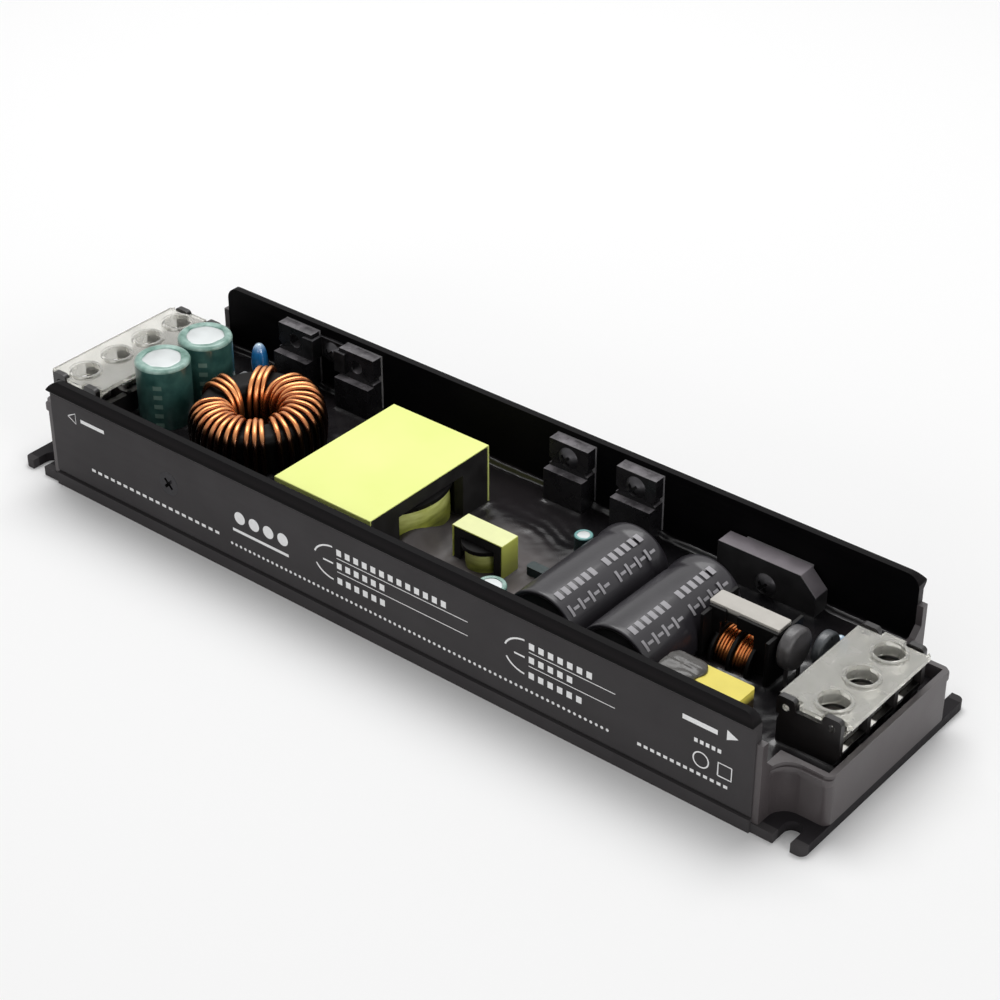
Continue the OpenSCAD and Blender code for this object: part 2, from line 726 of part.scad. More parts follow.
module device_wells() {
    for (x = concat(rectifier_x, transistor_x))
        box_well(x - device_w/2, x + device_w/2, device_back_y - device_t, wall_in + CUT);
    box_well(bridge_x - bridge_w/2, bridge_x + bridge_w/2, device_back_y - bridge_t, wall_in + CUT);
    for (s = back_screws) translate([s[0], 0, s[1]])
        rod_y(button_r + pot_fit, wall_in - s[2] - button_h - pot_fit, wall_in - s[2]);
    translate([front_screw_x, 0, front_hole_z]) mirror([0, 1, 0]) nut_well(front_grip);
}

// Round well for a nut and its screw's tip
module nut_well(grip) {
    rod_y(nut_af/sqrt(3) + pot_fit, wall_in - grip - nut_h - screw_tip - pot_fit, wall_in - grip);
}

module potting_compound() {
    color("#17161a") difference() {
        translate([0, 0, pcb_top]) linear_extrude(pot_depth) {
            translate([out_end, -wall_in]) square([wall_len, 2*wall_in]);
            translate([-tray_end_x, -tray_in_y]) square([2*tray_end_x, 2*tray_in_y]);
        }
        block_wells();
        output_side_wells();
        transformer_wells();
        input_side_wells();
        device_wells();
    }
}

// Terminal blocks

// Side view of a divider, as place along the channel and height
module divider_section() {
    polygon([[block_in_x, pcb_top], [block_front_x, pcb_top], [block_front_x, block_floor_z - 1.5],
        [divider_front_x, block_floor_z], [divider_front_x, divider_z - 1.2],
        [divider_front_x - 1.2, divider_z], [block_in_x + 1.4, divider_z],
        [block_in_x, block_floor_z + block_back_h]]);
}

// One ear with its pin hole, in the side view
module ear_section(x) {
    difference() {
        hull() {
            for (s = [-1, 1])
                translate([x + s*(ear_r - ear_round), pin_z + ear_top - ear_round]) circle(ear_round);
            translate([x - ear_r, pin_z - 2]) square([2*ear_r, 2]);
        }
        translate([x, pin_z]) circle(pin_r + pin_fit);
    }
}

module terminal_block(ways) {
    half = ways*way_pitch/2;
    difference() {
        union() {
            block([block_in_x, -half, pcb_top], [block_front_x, half, block_floor_z]);
            block([block_in_x, -half, pcb_top],
                [block_in_x + block_back_t, half, block_floor_z + block_back_h]);
            for (i = [0:ways]) translate([0, i*way_pitch - half + divider_t/2, 0]) rotate([90, 0, 0])
                linear_extrude(divider_t) difference() {
                    divider_section();
                    if (i == 0 || i == ways) {
                        translate([hinge_x, pin_z]) circle(pin_r + pin_fit);
                        translate([outer_ear_x, pin_z]) circle(pin_r + pin_fit);
                    } else {
                        translate([hinge_x, pin_z]) circle(swing_r);
                    }
                }
            for (s = [-1, 1]) translate([0, s*half + divider_t/2, 0]) rotate([90, 0, 0])
                linear_extrude(divider_t) {
                    ear_section(hinge_x);
                    ear_section(outer_ear_x);
                }
        }
        for (i = [0:ways - 1]) translate([term_screw_x, (i + 0.5)*way_pitch - half, 0])
            post(term_shank_r + pot_fit, clamp_z + clamp_t - term_shank_len - pot_fit, block_floor_z + CUT);
    }
}

// Hinge lug and pin at a cover's +Y end
module cover_hinge(half) {
    lug_y = half - divider_t/2 - 0.35;
    block([hinge_x - 1, lug_y - 1.2, pin_z - 1], [hinge_x + 1, lug_y, cover_z]);
    translate([hinge_x, 0, pin_z]) rod_y(pin_r, lug_y - 0.2, half + divider_t/2 - 0.1);
}

// Plan of a cover, cut round the ears
module cover_outline(half) {
    notch_y = half - divider_t/2 - 0.35;
    difference() {
        translate([cover_in_x, -half - 0.4]) square([cover_w, 2*half + 0.8]);
        for (s = [0, 1]) mirror([0, s]) {
            translate([cover_out_x, half + 0.4]) rotate(45) square(cover_corner*sqrt(2), center = true);
            translate([cover_in_x - CUT, notch_y])
                square([hinge_in + ear_r + ear_play + CUT, divider_t + CUT]);
            translate([outer_ear_x - ear_r - 0.4, notch_y])
                square([2*ear_r + 0.4 + ear_play, divider_t + CUT]);
        }
    }
}

module terminal_cover(ways) {
    half = ways*way_pitch/2;
    difference() {
        union() {
            translate([0, 0, cover_z]) linear_extrude(cover_t) cover_outline(half);
            for (i = [0:ways - 1]) translate([term_screw_x, (i + 0.5)*way_pitch - half, 0])
                post(collar_r, cover_z - collar_drop, cover_z + cover_t + collar_rise);
            cover_hinge(half);
            mirror([0, 1, 0]) cover_hinge(half);
        }
        for (i = [0:ways - 1]) translate([term_screw_x, (i + 0.5)*way_pitch - half, 0])
            post(driver_hole_r, cover_z - collar_drop - CUT, cover_z + cover_t + collar_rise + CUT);
    }
}

// Puts a piece at every way of a block
module at_ways(ways) {
    for (i = [0:ways - 1]) translate([term_screw_x, (i + 0.5 - ways/2)*way_pitch, 0]) children();
}

module terminal_screw() {
    head_z = clamp_z + clamp_t;
    difference() {
        union() {
            post(term_head_r, head_z, head_z + term_head_h);
            post(term_shank_r, head_z - term_shank_len, head_z);
        }
        for (a = [0, 90]) rotate([0, 0, a])
            block([-0.5, -2, head_z + term_head_h - 1.2], [0.5, 2, head_z + term_head_h + CUT]);
    }
}

module terminal_clamp() {
    difference() {
        block([-clamp_side/2, -clamp_side/2, clamp_z], [clamp_side/2, clamp_side/2, clamp_z + clamp_t]);
        post(term_shank_r + CLEAR, clamp_z - CUT, clamp_z + clamp_t + CUT);
    }
}

// Contact plate with a tab bent down over the block's front
module terminal_plate() {
    half_y = (way_pitch - divider_t)/2 - 0.2;
    back = block_in_x + block_back_t + CLEAR - term_screw_x;
    front = block_front_x + 0.05 + contact_t - term_screw_x;
    difference() {
        union() {
            block([back, -half_y, block_floor_z], [front, half_y, block_floor_z + contact_t]);
            block([front - contact_t, -1.5, block_floor_z - 1.6], [front, 1.5, block_floor_z]);
        }
        post(term_shank_r + CLEAR, block_floor_z - CUT, block_floor_z + contact_t + CUT);
    }
}

module input_terminal_block() { color("#141416") terminal_block(input_ways); }
module input_terminal_cover() { color("#c9ccc8", 0.5) terminal_cover(input_ways); }
module input_terminal_screws() { color("#b9bbbd") at_ways(input_ways) terminal_screw(); }
module input_terminal_clamps() { color("#c8cacc") at_ways(input_ways) terminal_clamp(); }
module input_terminal_plates() { color("#d4d6d8") at_ways(input_ways) terminal_plate(); }
module output_terminal_block() { color("#141416") mirror([1, 0, 0]) terminal_block(output_ways); }
module output_terminal_cover() { color("#c9ccc8", 0.5) mirror([1, 0, 0]) terminal_cover(output_ways); }
module output_terminal_screws() { color("#b9bbbd") mirror([1, 0, 0]) at_ways(output_ways) terminal_screw(); }
module output_terminal_clamps() { color("#c8cacc") mirror([1, 0, 0]) at_ways(output_ways) terminal_clamp(); }
module output_terminal_plates() { color("#d4d6d8") mirror([1, 0, 0]) at_ways(output_ways) terminal_plate(); }

// Electrolytic capacitors

// Upright can with a sleeve rolled over its top edge and a scored top
module upright_can(d, h) {
    r = d/2;
    roll = 0.08*d;
    difference() {
        rotate_extrude() difference() {
            square([r, h]);
            translate([r - roll, h - roll]) corner_waste(roll);
            translate([r + 0.04*d, 0.16*h]) circle(0.08*d);
        }
        translate([0, 0, h - 0.03*d]) cylinder(r = r - 2*roll, h = CUT);
        for (a = [0, 90]) rotate([0, 0, a])
            block([-0.02*d, -0.24*d, h - 0.05*d], [0.02*d, 0.24*d, h + CUT]);
    }
}

module output_capacitor(side) {
    translate([output_cap_x, output_cap_y + side*output_cap_pitch/2, pcb_top])
        upright_can(output_cap_d, output_cap_h);
}

module output_capacitor_1() { color("#1f4d40") output_capacitor(-1); }
module output_capacitor_2() { color("#1f4d40") output_capacitor(1); }
module aux_capacitor() {
    color("#2e6e5c") translate([aux_cap_pos[0], aux_cap_pos[1], pcb_top]) upright_can(aux_cap_d, aux_cap_h);
}
module signal_capacitor() {
    color("#4e8f8a") translate([signal_cap_pos[0], signal_cap_pos[1], pcb_top])
        upright_can(signal_cap_d, signal_cap_h);
}

// Lying can along +Y with a rim round its sealed front and a round far edge
bulk_edge_r = 2;
bulk_rim = 1.1;
bulk_lead_x = 3.75;
bulk_lead_y = 1.2;
module bulk_capacitor(x) {
    translate([x, bulk_front_y, bulk_z]) {
        rotate([-90, 0, 0]) rotate_extrude() difference() {
            square([bulk_r, bulk_len]);
            translate([bulk_r - bulk_edge_r, bulk_len - bulk_edge_r]) corner_waste(bulk_edge_r);
            translate([-CUT, -CUT]) square([bulk_r - bulk_rim + CUT, CUT + 0.8]);
        }
        for (s = [-1, 1]) translate([s*bulk_lead_x, 0, 0]) {
            rod_y(LEAD_R, -bulk_lead_y, CUT);
            translate([0, -bulk_lead_y, 0]) sphere(LEAD_R);
            translate([0, -bulk_lead_y, 0]) post(LEAD_R, -bulk_r, 0);
        }
    }
}

module bulk_capacitor_1() { color("#4c494f") bulk_capacitor(bulk_x[0]); }
module bulk_capacitor_2() { color("#4c494f") bulk_capacitor(bulk_x[1]); }

// Output choke

module output_choke_core() {
    core_w = (choke_od - choke_id)/2;
    color("#3a3a34") translate([choke_x, 0, choke_core_z + choke_core_h/2]) rotate_extrude()
        translate([choke_id/2 + core_w/2, 0]) round_rect([core_w, choke_core_h], choke_edge_r);
}

// One turn of wire round the core's section, in the plane of X and Z
module choke_turn() {
    r0 = choke_in_r + wire_r;
    r1 = choke_out_r - wire_r;
    z0 = choke_z + wire_r;
    z1 = choke_core_z + choke_core_h + choke_turn_gap + wire_r;
    for (r = [r0, r1]) translate([r, 0, 0]) post(wire_r, z0 + bend_r, z1 - bend_r);
    for (z = [z0, z1]) translate([r0 + bend_r, 0, z]) rotate([0, 90, 0])
        cylinder(r = wire_r, h = r1 - r0 - 2*bend_r);
    corners = [[r1 - bend_r, z1 - bend_r], [r0 + bend_r, z1 - bend_r],
        [r0 + bend_r, z0 + bend_r], [r1 - bend_r, z0 + bend_r]];
    for (i = [0:3]) translate([corners[i][0], 0, corners[i][1]]) rotate([90, 0, 0])
        rotate([0, 0, 90*i]) rotate_extrude(angle = 90) translate([bend_r, 0]) circle(wire_r);
}

module output_choke_winding() {
    mid_r = (choke_in_r + choke_out_r)/2;
    color("#c77a3c") translate([choke_x, 0, 0])
        for (g = turn_groups, i = [0:g[2] - 1]) rotate([0, 0, g[0] + i*g[1]])
            translate([mid_r, 0, 0]) rotate([0, 0, choke_slant]) translate([-mid_r, 0, 0]) choke_turn();
}

// Transformers, with the core's length along Y and the winding's axis upright

// Ferrite core: two plates, two legs hollowed for the winding, and a round post
module power_core(w, len, h, plate, winding_r, post_r) {
    for (z = [0, h - plate]) translate([0, 0, z]) linear_extrude(plate) round_rect([w, len], 0.6);
    translate([0, 0, plate - CLEAR]) linear_extrude(h - 2*plate + 2*CLEAR) difference() {
        round_rect([w, len], 0.6);
        circle(winding_r + tr_flange_out + 2*CLEAR);
        translate([-w, -winding_r*0.72]) square([2*w, 2*winding_r*0.72]);
    }
    post(post_r, plate - CLEAR, h - plate + CLEAR);
}

// Spool on the post
module power_bobbin(h, plate, winding_r, post_r) {
    flange_t = 0.9;
    difference() {
        union() {
            post(post_r + CLEAR + flange_t, plate + CLEAR, h - plate - CLEAR);
            for (z = [plate + CLEAR, h - plate - CLEAR - flange_t])
                translate([0, 0, z]) cylinder(r = winding_r + tr_flange_out, h = flange_t);
        }
        post(post_r + CLEAR, 0, h);
    }
}

// Taped winding between the spool's flanges
module power_winding(h, plate, winding_r, post_r) {
    z0 = plate + 2*CLEAR + 0.9;
    z1 = h - plate - 2*CLEAR - 0.9;
    difference() {
        post(winding_r, z0, z1);
        post(post_r + 2*CLEAR + 0.9, z0 - CUT, z1 + CUT);
    }
}

// Band of tape over the top and down both ends of the core
module power_tape(w, len, h) {
    difference() {
        translate([-w/2, -len/2 - tape_t, 0]) cube([w, len + 2*tape_t, h + tape_t]);
        translate([-w, -len/2, -CUT]) cube([2*w, len, h + CUT]);
        for (s = [0, 1]) mirror([0, s, 0])
            translate([0, len/2 + tape_t - 0.25, h + tape_t - 0.25]) rotate([90, 0, 90])
                translate([0, 0, -w]) linear_extrude(2*w) corner_waste(0.25);
    }
}

module at_transformer() { translate([tr_pos[0], tr_pos[1], pcb_top]) children(); }
module at_aux() { translate([aux_pos[0], aux_pos[1], pcb_top]) rotate([0, 0, 90]) children(); }

module transformer_core() {
    color("#1b1b1a") at_transformer() power_core(tr_w, tr_len, tr_h, tr_plate, tr_winding_r, tr_post_r);
}
module transformer_bobbin() {
    color("#101010") at_transformer() power_bobbin(tr_h, tr_plate, tr_winding_r, tr_post_r);
}
module transformer_winding() {
    color("#a8ad3e") at_transformer() power_winding(tr_h, tr_plate, tr_winding_r, tr_post_r);
}
module transformer_tape() { color("#f2fa96") at_transformer() power_tape(tr_w, tr_len, tr_h); }
module aux_transformer_core() {
    color("#1b1b1a") at_aux() power_core(aux_w, aux_len, aux_h, aux_plate, aux_winding_r, aux_post_r);
}
module aux_transformer_bobbin() {
    color("#101010") at_aux() power_bobbin(aux_h, aux_plate, aux_winding_r, aux_post_r);
}
module aux_transformer_winding() {
    color("#a8ad3e") at_aux() power_winding(aux_h, aux_plate, aux_winding_r, aux_post_r);
}
module aux_transformer_tape() { color("#f4f9b8") at_aux() power_tape(aux_w, aux_len, aux_h); }

// Line filter

line_axis_z = pcb_top + line_flange_r + 0.2;
line_core_in = line_bobbin_t + CLEAR;
line_out_leg_t = 0.9;
line_in_leg_t = 2.4;
line_spool_r = line_core_s/2 + 1.6;
line_coil_w = 3.3;
// Places of the spool's three flanges along the choke
line_spool_x = [for (i = [0:2])
    line_core_in + line_out_leg_t + CLEAR + i*(line_coil_w + line_bobbin_t + 2*CLEAR)];
line_bar_h = 3.2;
line_cap_h = 0.9;
// Bare length of the bar between the spool's cheeks, as places along the choke
line_bare = [3.8, 6.5];

// Rectangular ring: one leg through the spool, one bar over it
module line_choke_core() {
    top_z = pcb_top + line_h;
    low_z = line_axis_z - line_core_s/2;
    color("#d2cdc5") translate([line_x0, line_y, 0]) {
        block([line_core_in, -line_core_s/2, top_z - line_bar_h],
            [line_len - line_core_in, line_core_s/2, top_z]);
        block([-line_bar_over, -line_core_s/2, top_z - line_cap_h],
            [line_len - line_bar_over/2, line_core_s/2, top_z]);
        block([line_core_in, -line_core_s/2, low_z],
            [line_len - line_core_in, line_core_s/2, low_z + line_core_s]);
        block([line_core_in, -line_core_s/2, low_z],
            [line_core_in + line_out_leg_t, line_core_s/2, top_z]);
        block([line_len - line_core_in - line_in_leg_t, -line_core_s/2, low_z],
            [line_len - line_core_in, line_core_s/2, top_z]);
    }
}

// Spool with three round flanges, and an end wall outside each leg of the core
module line_choke_bobbin() {
    half = line_core_s/2 + CLEAR;
    wall_top = pcb_top + line_h - line_cap_h - CLEAR;
    color("#121213") translate([line_x0, line_y, 0]) difference() {
        union() {
            for (x = line_spool_x) translate([x, 0, line_axis_z]) rotate([0, 90, 0])
                cylinder(r = line_flange_r, h = line_bobbin_t);
            translate([line_spool_x[0], 0, line_axis_z]) rotate([0, 90, 0])
                cylinder(r = line_spool_r + half - line_core_s/2, h = line_spool_x[2] - line_spool_x[0]);
            for (x = [0, line_len - line_bobbin_t])
                block([x, -line_flange_r, pcb_top], [x + line_bobbin_t, line_flange_r, wall_top]);
            for (x = [[0, line_spool_x[0] + line_bobbin_t], [line_spool_x[2], line_len]])
                block([x[0], -half - line_bobbin_t, line_axis_z], [x[1], -half, wall_top]);
            for (x = [[0, line_bare[0]], [line_bare[1], line_len]])
                block([x[0], -half - line_bobbin_t, pcb_top + line_h - line_bar_h],
                    [x[1], -half, pcb_top + line_h - line_cap_h/2]);
        }
        block([line_core_in - CLEAR, -half, line_axis_z - half],
            [line_len - line_core_in + CLEAR, half, line_axis_z + half]);
    }
}

// Two copper windings between the flanges
module line_choke_windings() {
    r = line_flange_r - line_winding_in;
    color("#c0703a") translate([line_x0, line_y, line_axis_z]) rotate([0, 90, 0])
        for (i = [0, 1]) difference() {
            post(r, line_spool_x[i] + line_bobbin_t + CLEAR, line_spool_x[i + 1] - CLEAR);
            post(line_spool_r + 2*CLEAR, line_spool_x[i], line_spool_x[i + 1]);
        }
}

module x_capacitor() {
    color("#f2e56a") translate([xcap_x1 - xcap_len/2, xcap_y0 + xcap_w/2, pcb_top])
        linear_extrude(xcap_h) round_rect([xcap_len, xcap_w], 0.8);
}

// Dome of silicone on the film capacitor
bead_r = 4;
bead_h = 1.3;
bead_in = 1;
bead_back = 0.7;
bead_flat = 0.82;
module glue_bead() {
    ball = (bead_r*bead_r + bead_h*bead_h)/(2*bead_h);
    top = pcb_top + xcap_h;
    middle = [xcap_x1 - xcap_len + bead_r + bead_in, xcap_y0 + xcap_w/2 + bead_back, top];
    color("#8a8784") translate(middle)
        scale([1, bead_flat, 1]) intersection() {
            translate([0, 0, bead_h - ball]) sphere(ball);
            post(bead_r + CUT, 0, bead_h + CUT);
        }
}

// Standing disc across the channel on two leads
module lead_disc(pos, r, t) {
    edge = 0.3*t;
    translate([pos[0], pos[1], 0]) {
        translate([0, 0, pos[2]]) rotate([0, 90, 0]) rotate_extrude() difference() {
            square([r, t]);
            translate([r - edge, t - edge]) corner_waste(edge);
            translate([r - edge, edge]) mirror([0, 1]) corner_waste(edge);
        }
        for (s = [-1, 1]) translate([t/2, s*r/2, 0]) post(LEAD_R, pcb_top, pos[2] - 0.5*r);
    }
}

module thermistor() { color("#2a2a2c") lead_disc(disc_pos, disc_r, disc_t); }
module varistor() { color("#1f5a58") lead_disc(varistor_pos, varistor_r, varistor_t); }

// Dipped capacitor: a drop with a round head, widest below its middle, on a tapered skirt
module dipped_capacitor(pos, r, h) {
    foot_r = 0.6*r;
    head_r = 0.72*r;
    foot_h = 2.6;
    wide_z = 0.46*h;
    translate([pos[0], pos[1], pcb_top]) {
        post(foot_r, 0, foot_h);
        translate([0, 0, foot_h - CLEAR]) cylinder(r1 = foot_r, r2 = r, h = wide_z - foot_h + CLEAR);
        translate([0, 0, wide_z]) cylinder(r1 = r, r2 = head_r, h = h - head_r - wide_z);
        translate([0, 0, h - head_r]) sphere(head_r);
    }
}

module input_blue_capacitor() { color("#2f86d0") dipped_capacitor(dip_in_pos, input_dip_r, input_dip_h); }
module output_blue_capacitor() { color("#2f86d0") dipped_capacitor(dip_out_pos, dip_r, dip_h); }

// Box-shaped part standing on the board
module box_part(pos, size, r) {
    translate([pos[0], pos[1], pcb_top]) linear_extrude(size[2]) round_rect([size[0], size[1]], r);
}

module film_block() { color("#77787a") box_part(film_block_pos, film_block_size, 0.4); }
module snubber_capacitor() { color("#35605c") box_part(snubber_pos, snubber_size, 0.6); }

// Power devices

// Moulded transistor on the back wall: thick body, thin tab with a hole, three legs
module transistor(x) {
    back = device_back_y;
    translate([x, 0, 0]) difference() {
        union() {
            block([-device_w/2, back - device_t, device_z], [device_w/2, back, device_top_z - device_tab_h]);
            block([-device_w/2, back - device_tab_t, device_z], [device_w/2, back, device_top_z]);
            for (i = [-1:1]) translate([i*leg_pitch, back - leg_in, 0])
                block([-leg_w/2, -leg_t, pcb_top], [leg_w/2, 0, device_z]);
        }
        translate([0, 0, device_hole_z]) rod_y(screw_hole_r, back - device_tab_t - CUT, back + CUT);
        for (s = [-1, 1]) translate([s*device_w/2, 0, device_top_z - device_tab_h + 1.2])
            rod_y(0.7, back - device_tab_t - CUT, back + CUT);
    }
}

module output_rectifier_1() { color("#161618") transistor(rectifier_x[0]); }
module output_rectifier_2() { color("#161618") transistor(rectifier_x[1]); }
module switching_transistor_1() { color("#161618") transistor(transistor_x[0]); }
module switching_transistor_2() { color("#161618") transistor(transistor_x[1]); }

// Folded spring clip between two devices: foot on the wall, arms over their tabs
module rectifier_clip() {
    arm_y = device_back_y - device_tab_t;
    half_gap = (rectifier_pitch - device_w)/2;
    foot = half_gap - clip_gap;
    reach = half_gap + clip_lap;
    color("#1d1d20") difference() {
        translate([clip_x, 0, device_top_z - device_tab_h + 0.8]) linear_extrude(device_tab_h - 1.6) {
            translate([-foot, wall_in - clip_t]) square([2*foot, clip_t]);
            for (s = [0, 1]) mirror([s, 0]) {
                translate([foot - clip_t, arm_y - clip_t]) square([clip_t, wall_in - arm_y + clip_t]);
                translate([foot - clip_t, arm_y - clip_t]) square([reach - foot + clip_t, clip_t]);
            }
        }
        translate([clip_x, 0, clip_hole_z]) rod_y(screw_hole_r, wall_in - clip_t - CUT, wall_in + CUT);
    }
}

// Flat bridge with one chamfered corner and four legs
module bridge_rectifier() {
    front = device_back_y - bridge_t;
    top = bridge_z + bridge_h;
    half = bridge_w/2;
    color("#1a1a1c") translate([bridge_x, 0, 0]) {
        difference() {
            translate([0, device_back_y, 0]) rotate([90, 0, 0]) linear_extrude(bridge_t)
                polygon([[-half, bridge_z], [half, bridge_z], [half, top - bridge_chamfer],
                    [half - bridge_chamfer, top], [-half, top]]);
            translate([0, 0, bridge_hole_z]) rod_y(screw_hole_r, front - CUT, device_back_y + CUT);
        }
        for (i = [-1.5:1.5]) translate([i*bridge_leg_pitch, device_back_y - leg_in, 0])
            block([-leg_w/2, -leg_t, pcb_top], [leg_w/2, 0, bridge_z]);
    }
}

// Small transistor on the front wall
module front_transistor() {
    back = -wall_in + pad_t;
    size = front_device;
    color("#161618") translate([front_screw_x, 0, 0]) difference() {
        union() {
            block([-size[0]/2, back, front_device_z], [size[0]/2, back + size[1], front_device_z + size[2]]);
            for (i = [-1:1]) translate([i*leg_pitch, back + front_device[1]/2, 0])
                block([-leg_w/2, -leg_t/2, pcb_top], [leg_w/2, leg_t/2, front_device_z]);
        }
        translate([0, 0, front_hole_z]) rod_y(screw_hole_r, back - CUT, back + size[1] + CUT);
    }
}

// Pad behind a device, with its screw hole where it has one
module pad(x, z, w, z0, z1, holed) {
    translate([x, 0, 0]) difference() {
        block([-w/2, wall_in - pad_t, z0], [w/2, wall_in, z1]);
        if (holed) translate([0, 0, z]) rod_y(screw_hole_r, wall_in - pad_t - CUT, wall_in + CUT);
    }
}

module device_pads() {
    color("#b9b4ae") {
        for (x = rectifier_x) pad(x, device_hole_z, device_w, device_z, device_top_z, false);
        for (x = transistor_x) pad(x, device_hole_z, device_w, device_z, device_top_z, true);
        pad(bridge_x, bridge_hole_z, bridge_w - 2*bridge_chamfer, bridge_z, bridge_z + bridge_h, true);
        mirror([0, 1, 0]) pad(front_screw_x, front_hole_z, front_device[0], front_device_z,
            front_device_z + front_device[2], true);
    }
}

// Round-headed screw inside the back wall, through a grip into the wall
module button_screw(grip) {
    dome = (button_r*button_r + button_h*button_h)/(2*button_h);
    seat = wall_in - grip;
    rod_y(screw_r, seat - CLEAR, wall_out - 0.3);
    difference() {
        intersection() {
            translate([0, seat - button_h + dome, 0]) sphere(dome);
            rod_y(button_r, seat - button_h - CUT, seat);
        }
        for (a = [45, 135]) rotate([0, a, 0])
            block([-0.35, seat - button_h - CUT, -1.4], [0.35, seat - button_h + 0.8, 1.4]);
    }
}

// Countersunk screw from outside, reaching inwards through a grip and a nut
module wall_screw(grip) {
    tip_y = wall_in - grip - nut_h - screw_tip;
    difference() {
        union() {
            rod_y(screw_r, tip_y, wall_out - 0.1);
            translate([0, wall_out - screw_head_h, 0]) rotate([-90, 0, 0])
                cylinder(r1 = screw_r, r2 = screw_head_r, h = screw_head_h);
        }
        for (a = [45, 135]) rotate([0, a, 0])
            block([-0.35, wall_out - 0.9, -1.5], [0.35, wall_out + CUT, 1.5]);
    }
}

module wall_nut(grip) {
    translate([0, wall_in - grip - nut_h, 0]) rotate([-90, 0, 0]) difference() {
        rotate([0, 0, 30]) cylinder(r = nut_af/sqrt(3), h = nut_h, $fn = 6);
        translate([0, 0, -CUT]) cylinder(r = screw_r + nut_fit, h = nut_h + 2*CUT);
    }
}

module wall_screws() {
    color("#232326") {
        for (s = back_screws) translate([s[0], 0, s[1]]) button_screw(s[2]);
        translate([front_screw_x, 0, front_hole_z]) mirror([0, 1, 0]) wall_screw(front_grip);
    }
}

module front_nut() {
    color("#a9abad") translate([front_screw_x, 0, front_hole_z]) mirror([0, 1, 0]) wall_nut(front_grip);
}

case_channel();
input_end_cap();
output_end_cap();
insulating_sheet();
circuit_board();
potting_compound();
input_terminal_block();
input_terminal_cover();
input_terminal_screws();
input_terminal_clamps();
input_terminal_plates();
output_terminal_block();
output_terminal_cover();
output_terminal_screws();
output_terminal_clamps();
output_terminal_plates();
output_capacitor_1();
output_capacitor_2();
output_choke_core();
output_choke_winding();
transformer_core();
transformer_bobbin();
transformer_winding();
transformer_tape();
aux_transformer_core();
aux_transformer_bobbin();
aux_transformer_winding();
aux_transformer_tape();
bulk_capacitor_1();
bulk_capacitor_2();
aux_capacitor();
signal_capacitor();
snubber_capacitor();
line_choke_core();
line_choke_bobbin();
line_choke_windings();
x_capacitor();
glue_bead();
thermistor();
varistor();
input_blue_capacitor();
output_blue_capacitor();
film_block();
output_rectifier_1();
output_rectifier_2();
rectifier_clip();
switching_transistor_1();
switching_transistor_2();
bridge_rectifier();
front_transistor();
device_pads();
wall_screws();
front_nut();
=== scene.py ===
"""Looks of the open LED driver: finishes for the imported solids, and the wound, sleeved, poured
and printed pieces that stand for some of them. Sizes are millimetres until a mesh is made."""
import random
from math import cos, hypot, pi, radians, sin, tan

import bmesh
import bpy
import numpy as np
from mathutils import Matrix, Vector, noise


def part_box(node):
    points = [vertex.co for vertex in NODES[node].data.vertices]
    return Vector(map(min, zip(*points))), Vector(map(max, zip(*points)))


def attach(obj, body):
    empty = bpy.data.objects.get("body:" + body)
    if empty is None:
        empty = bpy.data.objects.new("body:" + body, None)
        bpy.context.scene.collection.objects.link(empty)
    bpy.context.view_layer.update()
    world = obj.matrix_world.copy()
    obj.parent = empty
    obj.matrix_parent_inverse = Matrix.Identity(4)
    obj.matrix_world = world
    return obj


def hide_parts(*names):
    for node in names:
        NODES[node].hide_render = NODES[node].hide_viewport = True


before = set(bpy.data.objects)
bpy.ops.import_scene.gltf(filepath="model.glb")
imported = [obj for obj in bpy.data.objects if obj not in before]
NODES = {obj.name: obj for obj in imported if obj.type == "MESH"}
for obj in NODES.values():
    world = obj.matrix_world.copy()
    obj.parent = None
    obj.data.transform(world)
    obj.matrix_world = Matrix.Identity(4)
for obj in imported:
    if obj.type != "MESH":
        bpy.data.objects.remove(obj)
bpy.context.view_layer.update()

MM = 0.001
BODY = "driver"
SEED = 7
dice = random.Random(SEED)
# Random start angles in radians
ANY_ANGLE = (0, 6.28)


# Finishes

# Levels between which most of a noise pattern lies
NOISE_LOW = 0.3
NOISE_HIGH = 0.7
# Width in millimetres of the step between two tones
TONE_STEP = 0.15
# Upward part of a normal that faces up
FACING_UP = 0.95
# Sockets of a colour Mix node
MIX_INPUTS = (0, 6, 7)
MIX_RESULT = 2


